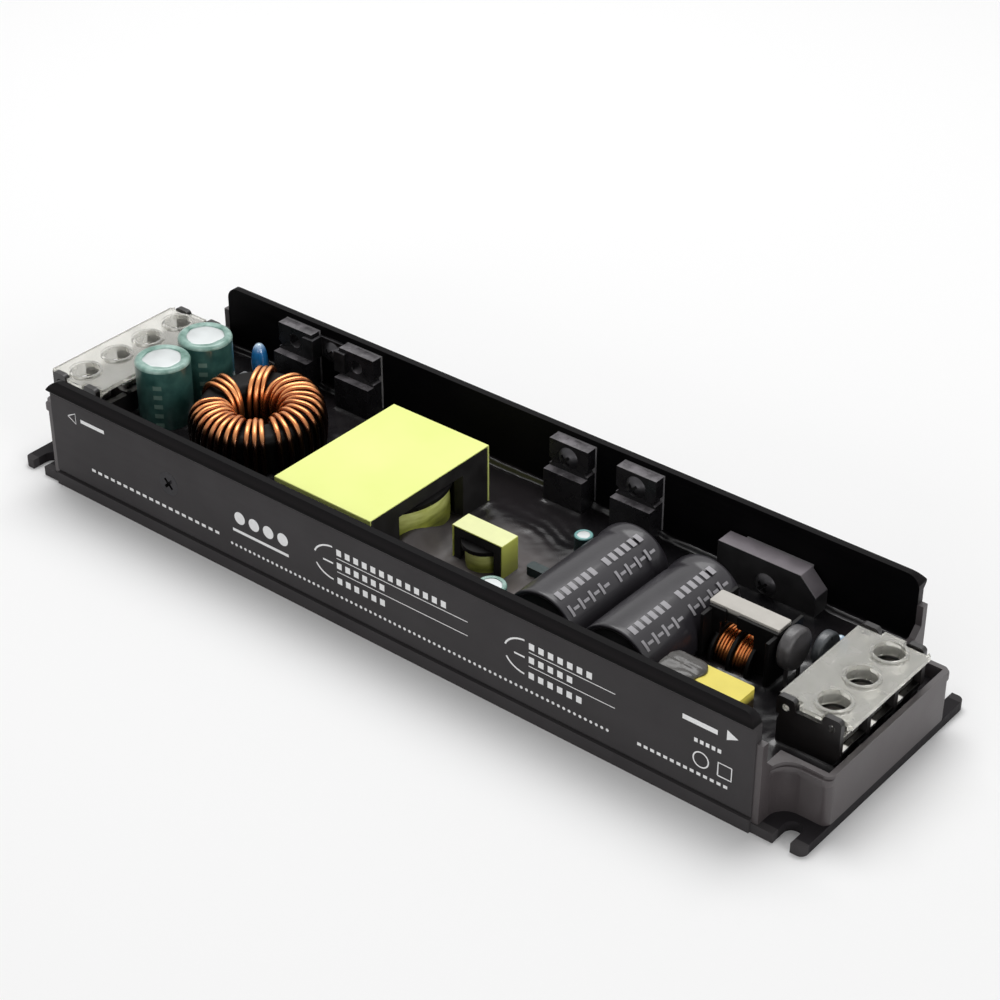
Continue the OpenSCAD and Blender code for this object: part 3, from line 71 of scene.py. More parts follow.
class Finish:
    """A Principled material whose colour, roughness and relief follow noise in the part's own space."""

    def __init__(self, name, **sockets):
        self.material = bpy.data.materials.new(name)
        self.material.use_nodes = True
        self.tree = self.material.node_tree
        self.bsdf = self.tree.nodes["Principled BSDF"]
        self.place = self.add("TexCoord").outputs["Object"]
        for socket, value in sockets.items():
            self.bsdf.inputs[socket.replace("_", " ")].default_value = value

    def add(self, kind, settings=None, **sockets):
        node = self.tree.nodes.new("ShaderNode" + kind)
        for key, value in (settings or {}).items():
            setattr(node, key, value)
        for socket, value in sockets.items():
            node.inputs[socket.replace("_", " ")].default_value = value
        return node

    def link(self, source, target):
        self.tree.links.new(source, target)

    def fed(self, kind, source, settings=None, **sockets):
        """A node with a source on its first input."""
        node = self.add(kind, settings, **sockets)
        self.link(source, node.inputs[0])
        return node

    def stretched(self, factors):
        return self.fed("Mapping", self.place, Scale=factors).outputs["Vector"]

    def grain(self, size_mm, detail=4.0, place=None, distortion=0.0):
        return self.fed("TexNoise", place or self.place, Scale=1/(size_mm*MM), Detail=detail,
                        Distortion=distortion).outputs["Fac"]

    def spread(self, value, low, high, start=NOISE_LOW, end=NOISE_HIGH):
        return self.fed("MapRange", value, From_Min=start, From_Max=end, To_Min=low,
                        To_Max=high).outputs["Result"]

    def ramp(self, value, *stops):
        node = self.fed("ValToRGB", value)
        elements = node.color_ramp.elements
        while len(elements) < len(stops):
            elements.new(0.5)
        for element, (position, color) in zip(elements, stops):
            element.position = position
            element.color = (*color, 1)
        return node.outputs["Color"]

    def tones(self, value, dark, light, start=NOISE_LOW, end=NOISE_HIGH):
        """Passes from a dark to a light colour between two levels of a value."""
        return self.ramp(value, (start, dark), (end, light))

    def clouds(self, value, color, spread):
        """Makes a colour darker and lighter with a value."""
        return self.tones(value, shade(color, 1 - spread), shade(color, 1 + spread))

    def halo(self, at_mm, reach_mm):
        """Falls from 1 at a point to 0 at a reach along each axis."""
        node = self.fed("Mapping", self.place, {"vector_type": "TEXTURE"},
                        Location=[axis*MM for axis in at_mm], Scale=[axis*MM for axis in reach_mm])
        return self.fed("TexGradient", node.outputs["Vector"],
                        {"gradient_type": "SPHERICAL"}).outputs["Fac"]

    def axis(self, name):
        """One coordinate in the part's own space."""
        return self.fed("SeparateXYZ", self.place).outputs[name]

    def rise(self, axis, start_mm, end_mm):
        """Goes from 0 to 1 between two places on an axis."""
        return self.spread(self.axis(axis), 0.0, 1.0, start_mm*MM, end_mm*MM)

    def beyond(self, axis, distance_mm):
        """Goes from 0 to 1 past a distance from the middle on an axis."""
        away = self.fed("Math", self.axis(axis), {"operation": "ABSOLUTE"})
        return self.spread(away.outputs[0], 0.0, 1.0, distance_mm*MM, (distance_mm + TONE_STEP)*MM)

    def upward(self, start):
        """Goes from 0 to 1 as the surface turns to face up."""
        split = self.fed("SeparateXYZ", self.add("NewGeometry").outputs["Normal"])
        return self.spread(split.outputs["Z"], 0.0, 1.0, start, FACING_UP)

    def mix(self, factor, first, second):
        node = self.add("Mix", {"data_type": "RGBA"})
        for source, index in zip((factor, first, second), MIX_INPUTS):
            self.link(source, node.inputs[index])
        return node.outputs[MIX_RESULT]

    def product(self, first, second):
        node = self.fed("Math", first, {"operation": "MULTIPLY"})
        self.link(second, node.inputs[1])
        return node.outputs[0]

    def own_color(self):
        """The colour that the finish has so far."""
        return self.bsdf.inputs["Base Color"].links[0].from_socket

    def color(self, value):
        self.link(value, self.bsdf.inputs["Base Color"])
        return self

    def rough(self, value, low, high):
        self.link(self.spread(value, low, high), self.bsdf.inputs["Roughness"])
        return self

    def relief(self, value, depth_mm):
        """Adds a bump to those that the finish has so far."""
        node = self.add("Bump", Strength=1.0, Distance=depth_mm*MM)
        self.link(value, node.inputs["Height"])
        if self.bsdf.inputs["Normal"].is_linked:
            self.link(self.bsdf.inputs["Normal"].links[0].from_socket, node.inputs["Normal"])
        self.link(node.outputs["Normal"], self.bsdf.inputs["Normal"])
        return self


def srgb(red, green, blue):
    """Linear colour from 8-bit values."""
    def linear(level):
        level = level/255
        return level/12.92 if level <= 0.04045 else ((level + 0.055)/1.055)**2.4
    return linear(red), linear(green), linear(blue)


def shade(color, factor):
    return tuple(min(1.0, level*factor) for level in color)


# Handling marks on metal: size and detail of their noise, depth, and how dark the metal is there
MARKS = (0.2, 3.0)
MARK_DEPTH = 0.01
HANDLED = 0.86
# Millimetres from a compartment's middle over which the painted glint on one side of a contact plate ends
GLINT_EDGE = (-2.0, -1.6)
# Parts of a winding's height below its top where the painted shade on its tape is full and where it ends
TAPE_SHADE = (0.4, 0.12)


def surface(name, dark, light, rough, cloud, pits, depth_mm, end=NOISE_HIGH, **sockets):
    """Cloudy colour and gloss over a fine relief, from two noises given as size and detail."""
    finish = Finish(name, **sockets)
    tone = finish.grain(*cloud)
    finish.color(finish.tones(tone, dark, light, end=end))
    finish.rough(tone, *rough)
    return finish.relief(finish.grain(*pits), depth_mm)


def moulded(name, color, spread=0.18, rough=(0.35, 0.5), size_mm=3.0, pit_mm=0.35, depth_mm=0.02,
            **sockets):
    """Plastic, epoxy or paint."""
    return surface(name, shade(color, 1 - spread), shade(color, 1 + spread), rough, (size_mm, 4.0),
                   (pit_mm, 2.0), depth_mm, **sockets)


def painted_top_light(finish, color, spread=0.1, start=0.5):
    """Lays a paler tone over what faces up, as painted light on the tops."""
    top_light = finish.clouds(finish.grain(3.0), color, spread)
    return finish.color(finish.mix(finish.upward(start), finish.own_color(), top_light))


def painted_low_shade(finish, color, full_mm, unshaded_mm):
    """Paints shade over what lies low, from a height where the painted shade is full to one where there is
    none.
    """
    low_shade = finish.clouds(finish.grain(2.0), color, spread=0.3)
    return finish.color(finish.mix(finish.rise("Z", full_mm, unshaded_mm), low_shade, finish.own_color()))


def plated(name, color, rough=(0.2, 0.38), size_mm=1.5):
    """Plated or bare metal with faint handling marks."""
    return surface(name, shade(color, HANDLED), color, rough, (size_mm, 6.0), MARKS, MARK_DEPTH,
                   Metallic=1.0)


def plate_finish(name, middle_y):
    """Contact plates painted dull as shade, with a painted glint on one side of each compartment."""
    finish = Finish(name, Metallic=1.0)
    cloud = finish.grain(1.5, detail=6.0)
    # The dull tone is painted shade on the plates, the bright tone a painted glint.
    dull = finish.tones(cloud, (0.024, 0.022, 0.02), (0.04, 0.038, 0.035))
    bright = finish.tones(cloud, (0.72, 0.71, 0.69), (0.86, 0.85, 0.83))
    across = finish.fed("Math", finish.axis("Y"), {"operation": "WRAP"})
    across.inputs[1].default_value = (middle_y + TERMINAL_PITCH/2)*MM
    across.inputs[2].default_value = (middle_y - TERMINAL_PITCH/2)*MM
    edges = [(middle_y + edge)*MM for edge in GLINT_EDGE]
    finish.color(finish.mix(finish.spread(across.outputs[0], 1.0, 0.0, *edges), dull, bright))
    finish.rough(cloud, 0.25, 0.4)
    return finish.relief(finish.grain(*MARKS), MARK_DEPTH)


def case_finish():
    """Satin black extrusion: matt coat outside, inside painted near black as shade, lip painted darker with
    painted shade at its lower edge, faint draw lines along its length.
    """
    finish = Finish("case_black", Specular_IOR_Level=0.04)
    draw = finish.grain(1.0, detail=5.0, place=finish.stretched((0.02, 1, 1)))
    cloud = finish.grain(14.0, detail=3.0)
    outside = finish.tones(cloud, srgb(60, 58, 59), srgb(66, 64, 65))
    # Inside faces are painted near black: painted shade in the channel.
    shaded_inside = finish.tones(cloud, srgb(5, 5, 6), srgb(9, 8, 9))
    plate = finish.tones(cloud, srgb(36, 34, 36), srgb(42, 40, 42))
    # The lip is painted darker than the panel and darkest at its lower edge: painted shade.
    lip = finish.ramp(finish.rise("Z", LIP_EDGE, LIP_TOP), (0.0, srgb(9, 9, 9)), (0.5, srgb(27, 25, 26)),
                      (1.0, srgb(20, 19, 20)))
    outside = finish.mix(finish.rise("Z", *LIP_BLEND), outside, lip)
    shaded_inside = finish.mix(finish.beyond("X", WALL_HALF), shaded_inside, plate)
    finish.color(finish.mix(finish.beyond("Y", WALL_INNER), shaded_inside, outside))
    finish.rough(draw, 0.34, 0.5)
    return finish.relief(draw, 0.012).relief(finish.grain(0.25, detail=2.0), 0.008)


def copper_finish(name, bright, dark, lit_at, lit_to, lit_z):
    """Enamelled copper wire, with painted shade away from its top and from the middle of the winding."""
    finish = Finish(name, Metallic=0.85, Coat_Weight=0.2, Coat_Roughness=0.2)
    cloud = finish.grain(5.0, detail=3.0)
    bare = finish.tones(cloud, dark, bright, end=0.65)
    # The dark tone is painted shade on the lower and outer turns; the copper tone is the lit part.
    copper_shade = finish.tones(cloud, srgb(26, 12, 8), srgb(44, 20, 12), end=0.65)
    near = finish.halo(lit_at, (SHADE_REACH, SHADE_REACH, SHADE_REACH))
    edges = [1 - distance/SHADE_REACH for distance in lit_to]
    lit_part = finish.product(finish.spread(near, 0.0, 1.0, *edges), finish.rise("Z", *lit_z))
    finish.color(finish.mix(lit_part, copper_shade, bare))
    finish.rough(cloud, 0.22, 0.32)
    return finish.relief(finish.grain(2.0, detail=2.0), 0.01)


def potting_finish():
    """Cured compound: dark and glossy, with a dull brown skin over one patch."""
    finish = Finish("potting", Specular_IOR_Level=0.5)
    cloud = finish.grain(14.0, detail=3.0, distortion=0.5)
    dark = finish.tones(cloud, srgb(20, 19, 21), srgb(34, 31, 33), start=0.35, end=0.65)
    dull = finish.tones(cloud, srgb(62, 56, 56), srgb(82, 75, 74), start=0.35, end=0.65)
    patch = finish.spread(finish.halo(DULL_AT, DULL_REACH), 0.0, 1.0, *DULL_EDGE)
    finish.color(finish.mix(patch, dark, dull))
    finish.link(finish.spread(patch, 0.2, 0.5, 0.0, 1.0), finish.bsdf.inputs["Roughness"])
    return finish.relief(finish.grain(2.4), 0.028).relief(finish.grain(0.4, detail=2.0), 0.008)


def tape_finish(name, color, worn):
    """Polyester tape: smooth film with faint wrinkles and a soft sheen."""
    finish = Finish(name, Coat_Weight=0.25, Coat_Roughness=0.25)
    cloud = finish.grain(22.0, detail=3.0)
    finish.color(finish.tones(cloud, worn, color))
    finish.rough(cloud, 0.3, 0.45)
    wrinkle = finish.grain(3.0, detail=3.0, place=finish.stretched((1, 0.12, 1)))
    return finish.relief(wrinkle, 0.03)


def wound_finish(name, node):
    """Tape round a winding: bright below the flange, then darker towards the compound with painted shade.
    """
    finish = Finish(name, Coat_Weight=0.25, Coat_Roughness=0.25)
    cloud = finish.grain(4.0, detail=3.0, place=finish.stretched((1, 1, 4)))
    dark = finish.tones(cloud, srgb(120, 126, 44), srgb(176, 182, 78))
    bright = finish.tones(cloud, srgb(206, 212, 110), srgb(240, 244, 158))
    low, high = box_mm(node)
    levels = [high[2] - share*(high[2] - low[2]) for share in TAPE_SHADE]
    # The dark tone is painted shade on the winding's lower side.
    finish.color(finish.mix(finish.rise("Z", *levels), dark, bright))
    finish.rough(cloud, 0.3, 0.45)
    wrinkle = finish.grain(3.0, detail=3.0, place=finish.stretched((1, 1, 0.12)))
    return finish.relief(wrinkle, 0.03)


def bar_finish():
    """Pale ground ferrite bar, painted dark below its top as shade on its sides and leg."""
    finish = Finish("pale_ferrite")
    cloud = finish.grain(3.0)
    pale = finish.tones(cloud, srgb(180, 176, 169), srgb(192, 188, 181))
    dark = finish.tones(cloud, srgb(14, 13, 12), srgb(22, 20, 18))
    # Below the bar's top the ferrite is painted dark: painted shade.
    finish.color(finish.mix(finish.rise("Z", *BAR_SHADE), dark, pale))
    finish.rough(cloud, 0.38, 0.55)
    return finish.relief(finish.grain(0.4, detail=2.0), 0.02)


def sleeve_finish(name, dark, light, size_mm=2.4, coat=0.35, specular=0.5):
    """Shrunk sleeve: cloudy colour under a thin gloss, with a slight ripple."""
    return surface(name, dark, light, (0.28, 0.42), (size_mm, 4.0), (1.2, 3.0), 0.03, end=0.75,
                   Coat_Weight=coat, Coat_Roughness=0.12, Specular_IOR_Level=specular)


def floor_finish():
    """Pale floor that keeps the shadow, and far from the part is plain white to the camera alone."""
    finish = Finish("floor", Roughness=0.9, Specular_IOR_Level=0.1, Emission_Color=(1, 1, 1, 1))
    cloud = finish.grain(900.0, detail=2.0)
    near = finish.halo((0, 0, 0), (FLOOR_FADE, FLOOR_FADE, FLOOR_FADE))
    far = finish.spread(near, 1.0, 0.0, 0.0, FLOOR_NEAR)
    to_camera = finish.add("LightPath").outputs["Is Camera Ray"]
    finish.link(finish.product(far, to_camera), finish.bsdf.inputs["Emission Strength"])
    return finish.color(finish.tones(cloud, (0.9, 0.9, 0.9), (0.93, 0.93, 0.93)))


# Meshes

# Angles in degrees past which an edge shows as sharp, or is broken
SHARP_ANGLE = 40
BROKEN_ANGLE = 32
EDGE_SEGMENTS = 2
WELD_MM = 0.001
# Radius below which a turned outline meets its axis
ON_AXIS = 1e-6
FINE_SEGMENTS = 96


def add_mesh(name, verts, faces, finishes, bands=None, slot=None, stands_for=None):
    """A mesh piece from millimetre points, riding on the driver's body."""
    mesh = bpy.data.meshes.new(name)
    mesh.from_pydata([[axis*MM for axis in point] for point in verts], [], faces)
    for finish in finishes:
        mesh.materials.append(finish.material)
    if bands is not None:
        mesh.polygons.foreach_set("material_index", bands)
    mesh.polygons.foreach_set("use_smooth", [True]*len(mesh.polygons))
    mesh.set_sharp_from_angle(angle=radians(SHARP_ANGLE))
    piece = bpy.data.objects.new(name, mesh)
    bpy.context.scene.collection.objects.link(piece)
    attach(piece, BODY)
    if stands_for:
        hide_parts(stands_for)
    return piece


def face_outwards(piece):
    """Turns a closed mesh's faces outwards."""
    shell = bmesh.new()
    shell.from_mesh(piece.data)
    bmesh.ops.recalc_face_normals(shell, faces=shell.faces)
    shell.to_mesh(piece.data)
    shell.free()


def box_mm(node):
    low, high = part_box(node)
    return [axis/MM for axis in low], [axis/MM for axis in high]


def middle(node):
    low, high = box_mm(node)
    return [(a + b)/2 for a, b in zip(low, high)]


def round_size(node):
    """Foot of an upright round part's axis, its radius and its height."""
    low, high = box_mm(node)
    cx, cy, _ = middle(node)
    return (cx, cy, low[2]), (high[0] - low[0])/2, high[2] - low[2]


def polar(radius, angle):
    """Point at a radius and an angle in radians."""
    return radius*cos(angle), radius*sin(angle)


def between(ends, part):
    return ends[0] + (ends[1] - ends[0])*part


def upright(x, y, z):
    """Lathe axis along +Z from a point."""
    return lambda a, b, height: (x + a, y + b, z + height)


def lengthwise(x, y, z):
    """Lathe axis along +Y from a point."""
    return lambda a, b, height: (x + a, y + height, z + b)


def lathe(profile, place, segments, wobble=None):
    """Points, faces and each face's profile step for (radius, height) points turned round an axis."""
    verts, faces, steps, rows = [], [], [], []
    for index, (radius, height) in enumerate(profile):
        turns = segments if radius > ON_AXIS else 1
        rows.append(range(len(verts), len(verts) + turns))
        for k in range(turns):
            angle = 2*pi*k/segments
            reach = radius + (wobble(index, angle) if wobble and turns > 1 else 0)
            verts.append(place(*polar(reach, angle), height))
    for step, (low, high) in enumerate(zip(rows, rows[1:])):
        for k in range(segments):
            n = (k + 1) % segments
            quad = [low[k % len(low)], low[n % len(low)], high[n % len(high)], high[k % len(high)]]
            faces.append(list(dict.fromkeys(quad)))
            steps.append(step)
    return verts, faces, steps


def arc(center, radius, start, end, count=6):
    """Points of an arc in (radius, height), angles in degrees."""
    points = []
    for k in range(count + 1):
        a, b = polar(radius, radians(start + (end - start)*k/count))
        points.append((center[0] + a, center[1] + b))
    return points


def tube(path, radius, sides, closed=False):
    """Points and faces of a round wire along a path."""
    path = [Vector(point) for point in path]
    count = len(path)
    verts, faces = [], []
    normal = None
    for k, point in enumerate(path):
        ahead = path[(k + 1) % count] if closed or k < count - 1 else point
        behind = path[k - 1] if closed or k > 0 else point
        tangent = (ahead - behind).normalized()
        normal = tangent.orthogonal() if normal is None else normal - tangent*normal.dot(tangent)
        normal.normalize()
        across = tangent.cross(normal)
        for s in range(sides):
            angle = 2*pi*s/sides
            verts.append(point + radius*(cos(angle)*normal + sin(angle)*across))
    for k in range(count if closed else count - 1):
        low, high = k*sides, (k + 1) % count*sides
        for s in range(sides):
            n = (s + 1) % sides
            faces.append([low + s, low + n, high + n, high + s])
    if not closed:
        faces.append(list(range(sides))[::-1])
        faces.append(list(range((count - 1)*sides, count*sides)))
    return verts, faces


def gather(parts):
    """One list of points and faces from several."""
    verts, faces = [], []
    for part_verts, part_faces in parts:
        base = len(verts)
        verts.extend(part_verts)
        faces.extend([[base + index for index in face] for face in part_faces])
    return verts, faces


def soften(piece, width_mm):
    """Breaks a solid's sharp edges, without touching its mesh."""
    weld = piece.modifiers.new("weld", "WELD")
    weld.merge_threshold = WELD_MM*MM
    bevel = piece.modifiers.new("edge", "BEVEL")
    bevel.width = width_mm*MM
    bevel.segments = EDGE_SEGMENTS
    bevel.limit_method = "ANGLE"
    bevel.angle_limit = radians(BROKEN_ANGLE)
    bevel.harden_normals = True


# Heights and places read from the solids, in millimetres
LIP_TOP = box_mm("case_channel")[1][2]
BAR_TOP = box_mm("line_choke_core")[1][2]
FILM_TOP = box_mm("x_capacitor")[1][2]
BOARD_TOP = box_mm("circuit_board")[1][2]
TRAY_END, WALL_INNER, POT_TOP = box_mm("potting_compound")[1]
WALL_HALF = box_mm("input_end_cap")[0][0]

# Sizes that no box gives
TERMINAL_PITCH = 9.5
PANEL_Y = -28.5
TRAY_HALF = 19.8
LIP_EDGE = LIP_TOP - 2.1
LIP_BLEND = (LIP_EDGE - 0.1, LIP_EDGE + 0.1)
# Heights between which the painted shade on the ferrite bar's sides and leg, and on the film box's lower
# side, ends
BAR_SHADE = (BAR_TOP - 1.2, BAR_TOP - 0.7)
FILM_SHADE = (FILM_TOP - 2.4, FILM_TOP - 0.7)
# Painted shade on the windings: middle of the lit part, then distances and heights between which the shade
# ends
SHADE_REACH = 30.0
CHOKE_LIT = ((-58.0, 0.0, 24.0), (15.7, 13.2), (12.5, 20.0))
LINE_LIT = ((69.6, 1.0, 18.0), (7.2, 4.0), (9.0, 12.0))
# Patch of dull skin on the compound
DULL_AT = (9.0, -9.0, 11.0)
DULL_REACH = (26.0, 24.0, 30.0)
DULL_EDGE = (0.12, 0.5)

CASE = case_finish()
CAP = moulded("end_cap_plastic", srgb(69, 64, 65), spread=0.1, rough=(0.34, 0.46), size_mm=9, pit_mm=0.3)
BLOCK = moulded("terminal_plastic", srgb(24, 22, 22), rough=(0.28, 0.4), size_mm=6)
CLEAR = surface("clear_plastic", srgb(230, 229, 222), srgb(244, 243, 237), (0.03, 0.1), (4.0, 3.0),
                (3.0, 2.0), 0.03, Transmission_Weight=0.72, IOR=1.4)
NICKEL = plated("nickel", (0.78, 0.77, 0.74))
# Terminal screws in dark metal: painted shade down in the screw holes.
SHADED_PLATE = plated("shaded_plate", (0.09, 0.085, 0.08), rough=(0.3, 0.5))
INPUT_PLATES = plate_finish("input_plates", 0.0)
OUTPUT_PLATES = plate_finish("output_plates", TERMINAL_PITCH/2)
ZINC = plated("zinc", (0.60, 0.60, 0.58), rough=(0.3, 0.5))
BLACK_STEEL = plated("black_steel", srgb(64, 63, 65), rough=(0.34, 0.5))
ALUMINIUM = plated("can_aluminium", (0.49, 0.51, 0.51), rough=(0.48, 0.62), size_mm=5)
POTTING = potting_finish()
COPPER = copper_finish("choke_copper", srgb(226, 154, 98), srgb(196, 118, 66), *CHOKE_LIT)
# The choke's wire sides take a darker copper: painted shade.
COPPER_SHADE = copper_finish("choke_copper_shade", srgb(150, 84, 46), srgb(112, 56, 28), *CHOKE_LIT)
FINE_COPPER = copper_finish("line_copper", srgb(236, 150, 84), srgb(206, 116, 58), *LINE_LIT)
TAPE = tape_finish("transformer_tape", srgb(240, 248, 150), srgb(234, 243, 138))
# The aux tape's tops are painted paler than its sides: painted light.
AUX_TAPE = painted_top_light(tape_finish("aux_tape", srgb(222, 228, 112), srgb(208, 214, 98)),
                  srgb(238, 242, 178), spread=0.03)
WOUND_TAPE = wound_finish("winding_tape", "transformer_winding")
AUX_WOUND_TAPE = wound_finish("aux_winding_tape", "aux_transformer_winding")
FERRITE = moulded("ferrite", srgb(30, 29, 29), rough=(0.4, 0.6), size_mm=4, pit_mm=0.25, depth_mm=0.03,
                  Specular_IOR_Level=0.3)
CORE_COAT = moulded("choke_coat", srgb(16, 14, 13), rough=(0.4, 0.55), Specular_IOR_Level=0.1)
PALE_FERRITE = bar_finish()
BOBBIN = moulded("bobbin", srgb(13, 12, 12), rough=(0.36, 0.5), Specular_IOR_Level=0.15)
GREEN = sleeve_finish("green_sleeve", srgb(42, 80, 76), srgb(70, 112, 105), coat=0.9)
GREEN_RIM = sleeve_finish("green_sleeve_rim", srgb(58, 112, 96), srgb(172, 202, 193), size_mm=3.2)
TEAL_RIM = sleeve_finish("teal_sleeve_rim", srgb(92, 150, 150), srgb(120, 176, 172))
GREY_SLEEVE = sleeve_finish("grey_sleeve", srgb(39, 37, 41), srgb(46, 44, 48), size_mm=9.0, coat=0.2,
                            specular=0.35)
RUBBER = moulded("bung_rubber", srgb(20, 20, 21), rough=(0.5, 0.65))
PRINT = moulded("white_print", srgb(226, 226, 226), spread=0.04, rough=(0.5, 0.6), size_mm=1)
SLEEVE_PRINT = moulded("sleeve_print", srgb(150, 148, 152), spread=0.08, rough=(0.4, 0.55), size_mm=1)
DULL_PRINT = moulded("dull_print", srgb(112, 140, 130), spread=0.1, rough=(0.4, 0.55), size_mm=1)
# The film box's lower side is painted dark: painted shade towards the compound.
YELLOW_BOX = painted_low_shade(moulded("film_box", srgb(232, 215, 92), spread=0.05, rough=(0.3, 0.42), size_mm=6),
                    srgb(44, 34, 16), *FILM_SHADE)
SILICONE = moulded("silicone", srgb(58, 55, 52), spread=0.12, rough=(0.24, 0.36), size_mm=2.5, pit_mm=1.0)
DISC = moulded("disc_epoxy", srgb(73, 71, 72), rough=(0.28, 0.45), size_mm=1.6, depth_mm=0.06)
VARISTOR = moulded("varistor_epoxy", srgb(68, 71, 74), rough=(0.24, 0.4), size_mm=2, depth_mm=0.05)
TEAL = moulded("teal_epoxy", srgb(20, 42, 43), rough=(0.24, 0.4), size_mm=2, depth_mm=0.05)
# The drops' upper faces are painted pale: a painted highlight.
BLUE = painted_top_light(moulded("blue_epoxy", srgb(48, 138, 210), spread=0.12, rough=(0.12, 0.24), size_mm=2,
                      depth_mm=0.05, Coat_Weight=1.0),
              srgb(204, 226, 242), spread=0.04, start=0.3)
GREY_BOX = moulded("grey_box", srgb(118, 119, 121), rough=(0.4, 0.55))
# The devices' tops are painted paler and mottled: a painted highlight on their lit tops.
EPOXY = painted_top_light(moulded("device_epoxy", srgb(24, 23, 25), rough=(0.2, 0.36), pit_mm=0.6, depth_mm=0.03,
                       Specular_IOR_Level=0.35),
               srgb(98, 95, 98), spread=0.6, start=0.6)
# The bridge's top is painted paler: painted light on its lit top.
BRIDGE = painted_top_light(moulded("bridge_epoxy", srgb(24, 23, 24), rough=(0.4, 0.55), pit_mm=0.2, depth_mm=0.03),
                srgb(120, 114, 119))
PAD = moulded("thermal_pad", srgb(112, 110, 112), spread=0.1, rough=(0.55, 0.7))
BOARD = moulded("board", srgb(28, 92, 52), rough=(0.3, 0.45))
FILM = moulded("insulating_film", srgb(226, 218, 190), spread=0.05, rough=(0.3, 0.45))
TINNED = plated("tinned_lead", (0.72, 0.72, 0.70), rough=(0.25, 0.4))

DEVICES = ("output_rectifier_1", "output_rectifier_2", "switching_transistor_1", "switching_transistor_2",
           "front_transistor")
# Finish of each solid, and the width in millimetres to which its edges are broken
SOLIDS = {
    "case_channel": (CASE, 0.2), "insulating_sheet": (FILM, 0), "circuit_board": (BOARD, 0),
    "input_terminal_plates": (INPUT_PLATES, 0.1), "output_terminal_plates": (OUTPUT_PLATES, 0.1),
    "transformer_core": (FERRITE, 0.25), "aux_transformer_core": (FERRITE, 0.2),
    "transformer_bobbin": (BOBBIN, 0), "aux_transformer_bobbin": (BOBBIN, 0),
    "transformer_tape": (TAPE, 0.12), "aux_transformer_tape": (AUX_TAPE, 0.12),
    "line_choke_bobbin": (BOBBIN, 0.15), "line_choke_core": (PALE_FERRITE, 0.35),
    "snubber_capacitor": (TEAL, 0.5), "x_capacitor": (YELLOW_BOX, 0.5), "film_block": (GREY_BOX, 0.3),
    "varistor": (VARISTOR, 0), "thermistor": (DISC, 0), "bridge_rectifier": (BRIDGE, 0.3),
    "rectifier_clip": (BLACK_STEEL, 0.15), "wall_screws": (BLACK_STEEL, 0),
    "device_pads": (PAD, 0), "front_nut": (ZINC, 0.2)}
for device in DEVICES:
    SOLIDS[device] = (EPOXY, 0.2)
for side in ("input", "output"):
    SOLIDS[side + "_end_cap"] = (CAP, 0.25)
    SOLIDS[side + "_terminal_block"] = (BLOCK, 0.15)
    SOLIDS[side + "_terminal_cover"] = (CLEAR, 0)
    SOLIDS[side + "_terminal_clamps"] = (NICKEL, 0.12)
    SOLIDS[side + "_terminal_screws"] = (SHADED_PLATE, 0.12)
for node, (finish, edge_mm) in SOLIDS.items():
    NODES[node].data.materials.clear()
    NODES[node].data.materials.append(finish.material)
    if edge_mm:
        soften(NODES[node], edge_mm)


# Poured compound

BOXED = ("transformer_core", "aux_transformer_core", "film_block", "snubber_capacitor", "x_capacitor",
         "line_choke_bobbin", "bridge_rectifier", "input_terminal_block", "output_terminal_block", *DEVICES)
ROUND = ("output_capacitor_1", "output_capacitor_2", "aux_capacitor", "signal_capacitor",
         "transformer_bobbin", "aux_transformer_bobbin", "input_blue_capacitor", "output_blue_capacitor")
LYING = ("bulk_capacitor_1", "bulk_capacitor_2")
# Feet of the lying cans and of the toroid in the compound
LYING_INSET = 0.45
RING_R = 10.2
RING_HALF = 4.6
# Skin below the solid's top, and its rise against the parts
SKIN_DROP = 0.35
MENISCUS_H = 0.45
MENISCUS_REACH = 0.7
# Ledge along the walls
LEDGE_H = 1.1
LEDGE_W = 1.0
LEDGE_EDGE = 0.12
# Low mounds: centre, reach along X and Y, height
MOUNDS = (((-4.2, -9.8), (4.3, 9.0), 4.8), ((28.0, 20.0), (7.0, 4.0), 0.5))
# Folds in the skin: centre, reach along X and Y, height, fold spacing and direction in degrees
FOLDS = (
    ((1.0, -17.0), (4.5, 4.5), 0.55, 2.1, 62), ((-0.5, 0.5), (3.5, 6), 0.35, 2.2, 20),
    ((15.0, 13.0), (7, 5), 0.22, 3.4, 74), ((27.0, 12.0), (4, 4), 0.4, 2.6, 130),
    ((-38.0, -8.0), (5, 12), 0.2, 3.2, 8), ((66.0, -9.0), (5, 5), 0.3, 2.4, 100),
    ((85.0, -20.0), (4, 4), 0.3, 2.0, 40))
# Bend of a fold's line: share of the spacing, millimetres to a radian
BEND_Y = (0.35, 3.1)
BEND_X = (0.25, 2.3)
FOLD_SHARP = 1.6
FOLD_LEVEL = 0.4
# Slow swell of the skin
SWELL_H = 0.22
SWELL_SIZE = 9
SWELL_NOISE = (0.8, 2.0, 4)
# Grid lines in each span along X and Y
X_LINES = (18, 330, 18)
Y_LINES = (12, 10, 72, 10, 12)
COMPOUND_SHARP_ANGLE = 60


def rect_of(node, grow=0.0):
    low, high = box_mm(node)
    return low[0] - grow, high[0] + grow, low[1] - grow, high[1] + grow


def rect_distance(x, y, rect):
    dx = np.maximum(rect[0] - x, x - rect[1])
    dy = np.maximum(rect[2] - y, y - rect[3])
    outside = np.hypot(np.maximum(dx, 0), np.maximum(dy, 0))
    return outside + np.minimum(np.maximum(dx, dy), 0)


def axis_distance(x, y, node):
    cx, cy, _ = middle(node)
    return np.hypot(x - cx, y - cy)


